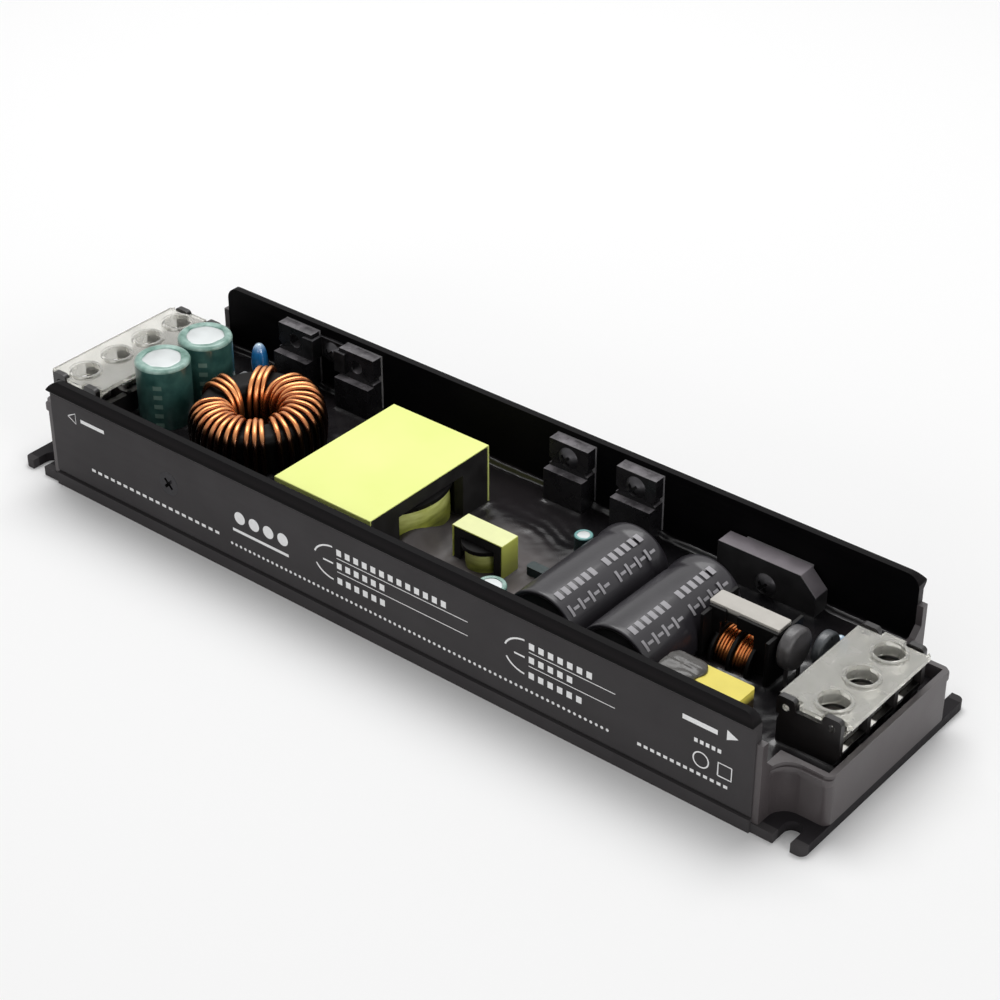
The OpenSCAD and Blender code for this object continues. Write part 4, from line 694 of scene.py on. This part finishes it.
def part_distance(x, y):
    """Distance on the plan to the nearest part that stands in the compound."""
    distances = [rect_distance(x, y, rect_of(node)) for node in BOXED]
    distances += [axis_distance(x, y, node) - round_size(node)[1] for node in ROUND]
    distances += [rect_distance(x, y, rect_of(node, -LYING_INSET)) for node in LYING]
    distances.append(np.abs(axis_distance(x, y, "output_choke_core") - RING_R) - RING_HALF)
    return np.maximum(np.minimum.reduce(distances), 0)


def bell(x, y, center, reach):
    """Falls from 1 at a centre, by a reach along X and Y."""
    return np.exp(-((x - center[0])/reach[0])**2 - ((y - center[1])/reach[1])**2)


def fold_height(x, y, center, reach, height, spacing, turn):
    """One patch of folds."""
    dx, dy = x - center[0], y - center[1]
    along = dx*cos(radians(turn)) + dy*sin(radians(turn))
    bend = BEND_Y[0]*np.sin(dy/BEND_Y[1]) + BEND_X[0]*np.sin(dx/BEND_X[1])
    wave = np.abs(np.sin(pi*(along/spacing + bend)))**FOLD_SHARP - FOLD_LEVEL
    return height*bell(x, y, center, reach)*wave


def compound_height(x, y):
    """Height of the compound's skin over the plan."""
    height = POT_TOP - SKIN_DROP + MENISCUS_H*np.exp(-part_distance(x, y)/MENISCUS_REACH)
    wall = np.maximum(WALL_INNER - np.abs(y), 0)
    height += LEDGE_H/(1 + np.exp((wall - LEDGE_W)/LEDGE_EDGE))*(np.abs(x) < WALL_HALF)
    for center, reach, rise in MOUNDS:
        height += rise*bell(x, y, center, reach)
    for fold in FOLDS:
        height += fold_height(x, y, *fold)
    swell = [noise.fractal(Vector((px/SWELL_SIZE, py/SWELL_SIZE, 0)), *SWELL_NOISE)
             for px, py in zip(x.flat, y.flat)]
    return height + SWELL_H*np.array(swell).reshape(x.shape)


def graded(edges, counts):
    """Grid lines from edge to edge, with a count for each span."""
    spans = [np.linspace(*span) for span in zip(edges, edges[1:], counts)]
    return np.concatenate([spans[0]] + [span[1:] for span in spans[1:]])


def compound_faces(xs, ys):
    """Faces of the skin, which is narrower in the trays at the ends."""
    columns = len(ys)
    faces = []
    for i in range(len(xs) - 1):
        in_tray = abs(xs[i] + xs[i + 1])/2 > WALL_HALF
        for j in range(columns - 1):
            if in_tray and abs(ys[j] + ys[j + 1])/2 > TRAY_HALF:
                continue
            at = i*columns + j
            faces.append([at, at + columns, at + columns + 1, at + 1])
    return faces


def close_below(piece):
    """Drops a skirt from the skin's rim to the board and closes it."""
    shell = bmesh.new()
    shell.from_mesh(piece.data)
    loose = [vert for vert in shell.verts if not vert.link_faces]
    bmesh.ops.delete(shell, geom=loose, context="VERTS")
    rim = [edge for edge in shell.edges if edge.is_boundary]
    skirt = bmesh.ops.extrude_edge_only(shell, edges=rim)["geom"]
    for vert in (item for item in skirt if isinstance(item, bmesh.types.BMVert)):
        vert.co.z = BOARD_TOP*MM
    bottom = [edge for edge in shell.edges if edge.is_boundary]
    bmesh.ops.contextual_create(shell, geom=bottom)
    shell.to_mesh(piece.data)
    shell.free()
    piece.data.set_sharp_from_angle(angle=radians(COMPOUND_SHARP_ANGLE))


def poured_compound():
    ledge = WALL_INNER - 2*LEDGE_W
    xs = graded((-TRAY_END, -WALL_HALF, WALL_HALF, TRAY_END), X_LINES)
    ys = graded((-WALL_INNER, -ledge, -TRAY_HALF, TRAY_HALF, ledge, WALL_INNER), Y_LINES)
    x, y = np.meshgrid(xs, ys, indexing="ij")
    verts = list(zip(x.flat, y.flat, compound_height(x, y).flat))
    close_below(add_mesh("poured_compound", verts, compound_faces(xs, ys), [POTTING],
                         slot="potting_compound", stands_for="potting_compound"))


poured_compound()


# Wound parts

WIRE_R = 0.62
WIRE_GAP = 0.69
WIRE_SIDES = 16
# Cosine of the angle either side of straight out within which a turn keeps its lit tone; past it the wire's
# sides get painted shade
WIRE_BRIGHT = 0.7
# Groups of turns as count, then first and last angle in degrees on the outside and in the bore
TURN_GROUPS = (
    (3, (128, 118), (154, 124)), (3, (172, 188), (175, 200)), (9, (226, 294), (216, 288)),
    (3, (304, 319), (302, 322)), (12, (333, 447), (343, 474)))
BORE_LAYERS = (5.5, 4.8)
LOOP_POWER = 2.6
LOOP_POINTS = 44
# How far a turn strays in degrees, and how low and high it lies
TURN_STRAY = 0.6
TURN_LIFT = (-0.1, 0.15)
# The choke leans up towards one side
LEAN = tan(radians(5))
LEAN_TO = radians(129)
CORE_EDGE = 1.8
CORE_BORE = 6.7
# Line choke
LINE_GAP = 0.5
LINE_TURNS = 5
LINE_LOOSE = 0.15
LINE_LEAN = 0.12
LINE_FILL = 0.98
LINE_STEPS = 48
LINE_SIDES = 8
# Tape round a winding: inset, and level as a part of its height
WRAP = ((0.5, 0), (0.15, 0.12), (0.02, 0.3), (0.1, 0.48), (0.02, 0.52), (0.05, 0.78), (0.3, 0.92), (0.7, 1))
WRAP_BORE = 0.56
WRAP_SLOW = 0.12
WRAP_QUICK = 0.07
WRAP_TIGHT = 0.18


def flattened_loop(half_h):
    """Points of a rounded loop between an ellipse and a rectangle, from -1 to 1 across."""
    points = []
    for k in range(LOOP_POINTS):
        c, s = polar(1, 2*pi*k/LOOP_POINTS)
        reach = (abs(c)**LOOP_POWER + abs(s)**LOOP_POWER)**(-1/LOOP_POWER)
        points.append((reach*c, half_h*reach*s))
    return points


def leaning(x, y, z):
    """Places points of the choke about its middle, leaning a little."""
    slope_x, slope_y = cos(LEAN_TO), sin(LEAN_TO)
    return lambda a, b, height: (x + a, y + b, z + height + LEAN*(a*slope_x + b*slope_y))


def choke_core():
    _, outer, height = round_size("output_choke_core")
    rise = height/2 - CORE_EDGE
    wide = outer - CORE_EDGE
    narrow = CORE_BORE + CORE_EDGE
    profile = []
    for k, corner in enumerate(((wide, rise), (narrow, rise), (narrow, -rise), (wide, -rise))):
        profile += arc(corner, CORE_EDGE, 90*k, 90*k + 90)
    profile.append(profile[0])
    verts, faces, _ = lathe(profile, leaning(*middle("output_choke_core")), FINE_SEGMENTS)
    face_outwards(add_mesh("choke_core", verts, faces, [CORE_COAT], slot="choke_core",
                           stands_for="output_choke_core"))


def side_bands(path, verts):
    """For each face of a closed turn, 0 where it looks out from the loop and 1 at the wire's sides, which
    get painted shade.
    """
    path = np.array(path)
    rings = np.array(verts).reshape(len(path), WIRE_SIDES, 3)
    ahead = np.roll(path, -1, axis=0) - np.roll(path, 1, axis=0)
    ahead /= np.linalg.norm(ahead, axis=1)[:, None]
    out = path - path.mean(axis=0)
    out -= ahead*(out*ahead).sum(axis=1)[:, None]
    out /= np.linalg.norm(out, axis=1)[:, None]
    away = (rings + np.roll(rings, -1, axis=1))/2 - path[:, None]
    away /= np.linalg.norm(away, axis=2)[:, :, None]
    facing = (away*out[:, None]).sum(axis=2)
    return [0 if level > WIRE_BRIGHT else 1 for level in facing.flat]


def choke_winding():
    _, outer, height = round_size("output_choke_core")
    place = leaning(*middle("output_choke_core"))
    loop = flattened_loop(height/2 + WIRE_R + WIRE_GAP)
    turns, bands = [], []
    for count, outside, bore in TURN_GROUPS:
        for k in range(count):
            part = k/(count - 1)
            out_angle = radians(between(outside, part) + dice.uniform(-TURN_STRAY, TURN_STRAY))
            x0, y0 = polar(BORE_LAYERS[k % 2], radians(between(bore, part)))
            x1, y1 = polar(outer + WIRE_R + WIRE_GAP, out_angle)
            lift = dice.uniform(*TURN_LIFT)
            path = [place((x0 + x1)/2 + across*(x1 - x0)/2, (y0 + y1)/2 + across*(y1 - y0)/2, level + lift)
                    for across, level in loop]
            turn = tube(path, WIRE_R, WIRE_SIDES, closed=True)
            turns.append(turn)
            bands += side_bands(path, turn[0])
    add_mesh("choke_turns", *gather(turns), [COPPER, COPPER_SHADE], bands, slot="copper",
             stands_for="output_choke_winding")


def line_winding():
    low, high = box_mm("line_choke_windings")
    mid, cy, cz = middle("line_choke_windings")
    reach = (high[2] - low[2])/2
    turns = []
    for x0, x1 in ((low[0], mid - LINE_GAP), (mid + LINE_GAP, high[0])):
        wire = (x1 - x0)/LINE_TURNS/2
        for k in range(LINE_TURNS):
            x = x0 + wire*(2*k + 1)
            radius = reach - wire - dice.uniform(0, LINE_LOOSE)
            lean = dice.uniform(-LINE_LEAN, LINE_LEAN)
            path = []
            for step in range(LINE_STEPS):
                c, s = polar(1, 2*pi*step/LINE_STEPS)
                path.append((x + lean*s, cy + radius*c, cz + radius*s))
            turns.append(tube(path, wire*LINE_FILL, LINE_SIDES, closed=True))
    add_mesh("line_choke_turns", *gather(turns), [FINE_COPPER], slot="copper",
             stands_for="line_choke_windings")


def taped_winding(name, node, tape):
    """Winding under tape whose layers end a little unevenly."""
    spot, radius, height = round_size(node)
    bore = radius*WRAP_BORE
    profile = [(bore, 0)] + [(radius - inset, level*height) for inset, level in WRAP]
    profile += [(bore, height), (bore, 0)]
    # The third draw goes unused, and keeps the draws of the pieces that follow as they are
    slow, quick, _ = [dice.uniform(*ANY_ANGLE) for _ in range(3)]

    def uneven(index, angle):
        if profile[index][0] == bore:
            return 0
        return WRAP_SLOW*sin(2*angle + slow) + WRAP_QUICK*sin(5*angle + quick + index) - WRAP_TIGHT
    verts, faces, _ = lathe(profile, upright(*spot), FINE_SEGMENTS, uneven)
    face_outwards(add_mesh(name, verts, faces, [tape], slot="taped_winding", stands_for=node))


choke_core()
choke_winding()
line_winding()
taped_winding("transformer_wrap", "transformer_winding", WOUND_TAPE)
taped_winding("aux_transformer_wrap", "aux_transformer_winding", AUX_WOUND_TAPE)


# Sleeved and dipped capacitors

# Upright can's side: inset as a part of its width, level as a part of its height
CAN_SIDE = ((0.03, 0), (0.008, 0.01), (0.002, 0.08), (0.035, 0.14), (0.035, 0.18), (0.002, 0.24), (0, 0.6))
# As parts of its width: rolled edge, lip as inset and drop, bare top as radius and drop
CAN_ROLL = 0.08
CAN_LIP = ((0, 0.012), (0.01, 0.035), (0.02, 0.03))
CAN_TOP = ((0.3, 0.026), (0, 0.03))
PRINT_LIFT = 0.025
PATCH_STEPS = 5
# Minus marks: degrees either side, and parts of the can's height
MINUS_HALF = 9
MINUS_LEVELS = [0.32 + 0.11*k for k in range(5)]
MINUS_H = 0.05
# Drop's outline, as parts of its radius and height
DROP = ((0, 0), (0.42, 0.02), (0.56, 0.2), (0.84, 0.44), (0.97, 0.58), (1.0, 0.66), (0.95, 0.75),
        (0.84, 0.84), (0.66, 0.92), (0.42, 0.975), (0.2, 0.995), (0, 1.0))
DROP_WAVE = 0.02
DROP_SEGMENTS = 48
# Lying can
BULK_LEAD_REACH = 1.6
BULK_RIM = 1.1
BULK_ROLL = 0.55
BULK_EDGE = 2.0
# Its neck as inset and distance from the far end
NECK = ((0.1, 7.5), (0.3, 5.6), (0.42, 5.0), (0.25, 4.4), (0, 3.6))
# Its leads
LEAD_AT = 3.75
LEAD_R = 0.4
LEAD_SIDES = 10
LEAD_PATH = ((0, 0.9), (0, -0.7), (-0.12, -1.05), (-0.5, -1.2))
# Its marks: starts along it, then rows as count, pitch and patches, a patch as angles and ends
MARK_STARTS = (1.6, 16.6)
MARK_ROWS = ((6, 2.1, (((65, 78), (0, 1.3)),)),
             (4, 3.2, (((38, 54), (0, 0.7)), ((44, 48), (1.1, 2.7)))))


def bands_of(steps, *ends):
    """For each face, how many ends its profile step has reached."""
    return [sum(step >= end for end in ends) for step in steps]


def upright_can(name, node, sleeve, rim, slot):
    """Can in a shrunk sleeve: groove near the base, rolled top edge, bare top."""
    spot, r, h = round_size(node)
    d = 2*r
    roll = CAN_ROLL*d
    lip = r - 1.9*roll
    profile = [(0, 0)] + [(r - inset*d, level*h) for inset, level in CAN_SIDE]
    profile.append((r, h - roll - 0.02*d))
    side_end = len(profile)
    profile += arc((r - roll, h - roll), roll, 0, 100)
    profile += [(lip - inset*d, h - drop*d) for inset, drop in CAN_LIP]
    lip_end = len(profile) - 2
    profile += [(part*d, h - drop*d) for part, drop in CAN_TOP]
    seam = dice.uniform(*ANY_ANGLE)

    def shrunk(index, angle):
        if index > lip_end or index == 0:
            return 0
        if index > lip_end - 2:
            return 0.012*d*sin(3*angle + seam) + 0.008*d*sin(7*angle + 2*seam)
        return -0.003*d*(1 + sin(2*angle + seam))
    verts, faces, steps = lathe(profile, upright(*spot), FINE_SEGMENTS, shrunk)
    face_outwards(add_mesh(name, verts, faces, [sleeve, rim, ALUMINIUM],
                           bands_of(steps, side_end, lip_end), slot=slot, stands_for=node))


def wrapped_patch(place, radius, angles, heights):
    """A printed patch on a round can, between two angles in degrees and two heights."""
    verts, faces = [], []
    for height in heights:
        for k in range(PATCH_STEPS + 1):
            angle = radians(angles[0] + (angles[1] - angles[0])*k/PATCH_STEPS)
            verts.append(place(*polar(radius + PRINT_LIFT, angle), height))
    for k in range(PATCH_STEPS):
        faces.append([k, k + 1, PATCH_STEPS + k + 2, PATCH_STEPS + k + 1])
    return verts, faces


def output_can(index, facing):
    """Green can with plain minus marks down its side."""
    node = "output_capacitor_" + index
    upright_can("output_can_" + index, node, GREEN, GREEN_RIM, "output_capacitor")
    spot, r, h = round_size(node)
    angles = (facing - MINUS_HALF, facing + MINUS_HALF)
    marks = [wrapped_patch(upright(*spot), r, angles, (h*level, h*level + MINUS_H*h))
             for level in MINUS_LEVELS]
    add_mesh("output_can_marks_" + index, *gather(marks), [DULL_PRINT], slot="output_capacitor")


def dipped_drop(side):
    """Drop of epoxy with a slightly uneven skin."""
    node = side + "_blue_capacitor"
    spot, r, h = round_size(node)
    profile = [(part*r, level*h) for part, level in DROP]

    def uneven(index, angle):
        return -DROP_WAVE*profile[index][0]*(1 + sin(2*angle + index))
    verts, faces, _ = lathe(profile, upright(*spot), DROP_SEGMENTS, uneven)
    face_outwards(add_mesh(side + "_blue_drop", verts, faces, [BLUE], slot="blue_epoxy", stands_for=node))


def bulk_profile(r, length):
    """Outline of a lying can, and the steps at which its bung and its sleeve end."""
    profile = [(0, 0.8), (r - 3.2, 0.8), (r - 2.6, 1.05), (r - BULK_RIM - 0.35, 1.0)]
    bung_end = len(profile) - 1
    profile.append((r - BULK_RIM, 0.35))
    profile += arc((r - BULK_ROLL, BULK_ROLL), BULK_ROLL, 260, 360)
    profile += [(r - 0.04, 1.6), (r, 3.0), (r - 0.02, 0.35*length)]
    profile += [(r - inset, length - back) for inset, back in NECK]
    profile += arc((r - BULK_EDGE, length - BULK_EDGE), BULK_EDGE, 0, 90, 8)
    profile += [(r - 3.0, length - 0.02), (r - 3.05, length - 0.25)]
    sleeve_end = len(profile) - 1
    profile += [(r - 3.3, length - 0.22), (0, length - 0.25)]
    return profile, bung_end, sleeve_end


def bulk_leads(place, r):
    """Two wires that leave the bung and turn down into the compound."""
    leads = []
    for x in (-LEAD_AT, LEAD_AT):
        path = [place(x, level, reach) for level, reach in (*LEAD_PATH, (-r, LEAD_PATH[-1][1]))]
        leads.append(tube(path, LEAD_R, LEAD_SIDES))
    return leads


def bulk_marks(place, r):
    """Rows of plain blocks and ticks in place of the print on a lying can."""
    marks = []
    for start in MARK_STARTS:
        for count, pitch, patches in MARK_ROWS:
            for k in range(count):
                marks += [wrapped_patch(place, r, angles, [start + pitch*k + end for end in ends])
                          for angles, ends in patches]
    return marks


def bulk_can(index):
    """Lying can: rubber bung in a rolled rim, long sleeve, rounded far end with a bare disc."""
    node = "bulk_capacitor_" + index
    low, high = box_mm(node)
    r = (high[0] - low[0])/2
    length = high[1] - low[1] - BULK_LEAD_REACH
    cx, _, cz = middle(node)
    place = lengthwise(cx, low[1] + BULK_LEAD_REACH, cz)
    profile, bung_end, sleeve_end = bulk_profile(r, length)
    seam = dice.uniform(*ANY_ANGLE)

    def shrunk(step, angle):
        if step <= bung_end or step > sleeve_end:
            return 0
        return 0.03*sin(2*angle + seam) + 0.02*sin(5*angle + step) - 0.05
    verts, faces, steps = lathe(profile, place, FINE_SEGMENTS, shrunk)
    all_verts, all_faces = gather([(verts, faces), *bulk_leads(place, r)])
    bands = bands_of(steps, bung_end, sleeve_end) + [3]*(len(all_faces) - len(faces))
    face_outwards(add_mesh("bulk_can_" + index, all_verts, all_faces,
                           [RUBBER, GREY_SLEEVE, ALUMINIUM, TINNED], bands,
                           slot="bulk_capacitor", stands_for=node))
    add_mesh("bulk_can_marks_" + index, *gather(bulk_marks(place, r)), [SLEEVE_PRINT],
             slot="bulk_capacitor")


output_can("1", -58)
output_can("2", -52)
upright_can("aux_can", "aux_capacitor", GREEN, GREEN_RIM, "small_capacitor")
upright_can("signal_can", "signal_capacitor", TEAL, TEAL_RIM, "small_capacitor")
dipped_drop("input")
dipped_drop("output")
bulk_can("1")
bulk_can("2")


# Silicone bead

BEAD_ROWS = 16
BEAD_SEGMENTS = 72
BEAD_POWER = 3.2
# Reach past the film capacitor's edges, and drop for each millimetre past them
BEAD_OVER = 0.7
BEAD_DROP = 3.2
# Size of the lumps along X and Y
LUMP_X = 5.5
LUMP_Y = 1.3


def silicone_bead():
    """Glob that covers one end of the film capacitor and hangs a little over its edges."""
    low, high = box_mm("glue_bead")
    box_low, box_high = box_mm("x_capacitor")
    west, south = box_low[0] - BEAD_OVER, box_low[1] - 0.1
    east, north = high[0] - 0.4, box_high[1] + BEAD_OVER
    cx, cy = (west + east)/2, (south + north)/2
    rise = high[2] - low[2]
    profile = [(0, 0)]
    for angle in np.linspace(0, pi/2, BEAD_ROWS):
        profile.append((cos(angle)**0.8, rise*sin(angle)**0.6))

    def smeared(index, angle):
        c, s = abs(cos(angle)), abs(sin(angle))
        square = (c**BEAD_POWER + s**BEAD_POWER)**(-1/BEAD_POWER)
        edge = 0.06*sin(3*angle + 0.4) + 0.03*sin(7*angle)
        return profile[index][0]*(0.94*square - 1 + edge*max(cos(angle), 0))
    verts, faces, _ = lathe(profile, upright(0, 0, 0), BEAD_SEGMENTS, smeared)
    lumpy = []
    for u, v, z in verts:
        x, y = cx + u*(east - west)/2, cy + v*(north - south)/2
        spot = Vector((x/LUMP_X, y/LUMP_Y, 3))
        z *= 0.78 + 0.42*noise.noise(spot) + 0.1*noise.noise(spot*2.0)
        over = max(box_low[0] + 0.1 - x, y - box_high[1] + 0.1, 0)
        lumpy.append((x, y, low[2] + min(z, rise) - BEAD_DROP*over))
    face_outwards(add_mesh("silicone_bead", lumpy, faces, [SILICONE], slot="silicone",
                           stands_for="glue_bead"))


silicone_bead()


# Print on the front panel: plain arrows, bars, dots and brackets

BRACKET_Z = 14.7
BRACKET_HALF = 4.0
BRACKET_GAP = 0.6
BRACKET_LINE = 0.4
RULE_ROWS = (16.3, 13.0)
BLOCK_ROWS = (17.1, 13.9, 10.2)
BLOCK_PITCH = 2.3


def panel(points):
    """A flat patch on the front panel from (x, z) points."""
    y = PANEL_Y - PRINT_LIFT
    return [(x, y, z) for x, z in points], [list(range(len(points)))]


def bar(x0, x1, z0, z1):
    return panel([(x0, z0), (x1, z0), (x1, z1), (x0, z1)])


def dot(x, z, r, sides=20):
    corners = [polar(r, 2*pi*k/sides) for k in range(sides)]
    return panel([(x + a, z + b) for a, b in corners])


def stroke(points, width):
    """A line of even width through (x, z) points."""
    left, right = [], []
    for k, (x, z) in enumerate(points):
        x0, z0 = points[max(k - 1, 0)]
        x1, z1 = points[min(k + 1, len(points) - 1)]
        reach = hypot(x1 - x0, z1 - z0)
        nx, nz = -(z1 - z0)/reach*width/2, (x1 - x0)/reach*width/2
        left.append((x + nx, z + nz))
        right.append((x - nx, z - nz))
    verts, _ = panel(left + right)
    n = len(points)
    return verts, [[k, k + 1, n + k + 1, n + k] for k in range(n - 1)]


def dashes(x0, x1, z, height, dash, gap):
    pitch = dash + gap
    count = int((x1 - x0 + gap)/pitch)
    return [bar(x0 + k*pitch, x0 + k*pitch + dash, z, z + height) for k in range(count)]


def bracket_group(tip_x, line_x0, line_x1, blocks):
    """A round bracket, two rules and three rows of plain blocks."""
    middle_x = line_x0 - BRACKET_GAP
    reach = line_x0 - tip_x - BRACKET_GAP
    sweep = [radians(a) for a in range(95, 266, 10)]
    curve = [(middle_x + reach*cos(a), BRACKET_Z + BRACKET_HALF*sin(a)) for a in sweep]
    half = len(curve)//2
    parts = [stroke(curve[:half - 1], BRACKET_LINE), stroke(curve[half + 2:], BRACKET_LINE)]
    parts.append(bar(tip_x + 2.4, line_x0 - 1.0, BRACKET_Z - BRACKET_LINE/2, BRACKET_Z + BRACKET_LINE/2))
    parts += [bar(line_x0, line_x1, z, z + 0.18) for z in RULE_ROWS]
    for z, count in zip(BLOCK_ROWS, blocks):
        starts = [line_x0 + BLOCK_PITCH*k for k in range(count)]
        parts += [bar(x, x + 1.3, z, z + 1.5) for x in starts]
    return parts


def panel_print():
    # Arrow and bar by the output terminals
    parts = [stroke([(-87.6, 19.5), (-85.2, 20.8), (-85.2, 18.2), (-87.6, 19.5)], 0.25)]
    parts.append(bar(-83.6, -76.2, 19.1, 20.0))
    # Dashes, then four dots over a bar
    parts += dashes(-81.5, -41.0, 7.6, 0.7, 1.2, 0.8)
    parts += [dot(-35.8 + 4.1*k, 14.4, 1.5) for k in range(4)]
    parts.append(bar(-38.0, -22.0, 10.6, 11.3))
    # Long row of small dots, with the two bracket groups above it
    parts += [dot(-38.6 + 1.3*k, 7.1, 0.36, 10) for k in range(77)]
    parts += bracket_group(-14.6, -8.4, 26.0, (13, 6, 6))
    parts += bracket_group(35.2, 41.2, 61.8, (7, 5, 6))
    # Bar and arrow by the input terminals
    parts.append(bar(77.0, 84.8, 18.5, 19.6))
    parts.append(panel([(86.8, 18.4), (89.3, 19.55), (86.8, 20.7)]))
    # Ring and square between two rows of dashes
    parts += dashes(79.8, 86.4, 14.6, 0.9, 0.8, 0.5)
    ring = [polar(1.7, radians(a)) for a in range(0, 361, 15)]
    parts.append(stroke([(81.5 + a, 11.0 + b) for a, b in ring], 0.3))
    parts.append(stroke([(85.3, 9.4), (88.3, 9.4), (88.3, 12.4), (85.3, 12.4), (85.3, 9.4)], 0.3))
    parts += dashes(67.2, 89.0, 7.2, 0.7, 0.9, 0.6)
    add_mesh("panel_print", *gather(parts), [PRINT], slot="case_channel")


panel_print()


# Stage, light and camera

FLOOR_HALF = 4.0
# Distance in millimetres at which the floor has faded to white, and the part that is faded over
FLOOR_FADE = 900.0
FLOOR_NEAR = 0.6
CAMERA_AT = Vector((269.0, -315.5, 291.7))*MM
CAMERA_PITCH = 33.3
CAMERA_TURN = 39.3
CAMERA_LENS = 86.5
CAMERA_SENSOR = 36
CAMERA_NEAR = 0.01
CAMERA_FAR = 20
WORLD_LEVEL = 0.26
# Softboxes: name, place and aim in metres, width and height, watts
LAMPS = (
    ("key", (-0.2, 0.25, 0.8), (0, 0, 0), (0.8, 0.5), 6.3),
    ("front", (0.2, -0.9, 0.24), (0, 0, 0.01), (0.8, 0.35), 2.1),
    ("side", (0.9, -0.2, 0.35), (0.1, 0, 0.01), (0.5, 0.35), 2.3))


def floor():
    mesh = bpy.data.meshes.new("floor")
    corners = [(FLOOR_HALF*x, FLOOR_HALF*y, 0) for x, y in ((-1, -1), (1, -1), (1, 1), (-1, 1))]
    mesh.from_pydata(corners, [], [[0, 1, 2, 3]])
    mesh.materials.append(floor_finish().material)
    plane = bpy.data.objects.new("floor", mesh)
    bpy.context.scene.collection.objects.link(plane)


def softbox(name, at, aim, size, watts):
    lamp = bpy.data.lights.new(name, "AREA")
    lamp.shape = "RECTANGLE"
    lamp.size, lamp.size_y = size
    lamp.energy = watts
    box = bpy.data.objects.new(name, lamp)
    box.location = at
    box.rotation_euler = (Vector(aim) - Vector(at)).to_track_quat("-Z", "Y").to_euler()
    bpy.context.scene.collection.objects.link(box)


def world_light():
    """Soft light all round, which the camera and mirror-like surfaces see as white."""
    world = bpy.data.worlds.new("studio")
    bpy.context.scene.world = world
    world.use_nodes = True
    tree = world.node_tree
    back = tree.nodes["Background"]
    back.inputs["Color"].default_value = (1, 1, 1, 1)
    path = tree.nodes.new("ShaderNodeLightPath")
    seen = path.outputs["Is Camera Ray"]
    for kind in ("Is Glossy Ray", "Is Transmission Ray"):
        either = tree.nodes.new("ShaderNodeMath")
        either.operation = "MAXIMUM"
        tree.links.new(seen, either.inputs[0])
        tree.links.new(path.outputs[kind], either.inputs[1])
        seen = either.outputs[0]
    level = tree.nodes.new("ShaderNodeMapRange")
    level.inputs["To Min"].default_value = WORLD_LEVEL
    level.inputs["To Max"].default_value = 1.0
    tree.links.new(seen, level.inputs["Value"])
    tree.links.new(level.outputs["Result"], back.inputs["Strength"])


def photo_camera():
    camera = bpy.data.objects.new("camera", bpy.data.cameras.new("camera"))
    camera.data.sensor_width = CAMERA_SENSOR
    camera.data.lens = CAMERA_LENS
    camera.data.clip_start = CAMERA_NEAR
    camera.data.clip_end = CAMERA_FAR
    camera.location = CAMERA_AT
    camera.rotation_euler = (radians(90 - CAMERA_PITCH), 0, radians(CAMERA_TURN))
    bpy.context.scene.collection.objects.link(camera)
    bpy.context.scene.camera = camera


floor()
world_light()
for lamp in LAMPS:
    softbox(*lamp)
photo_camera()
bpy.context.scene.view_settings.view_transform = "Standard"
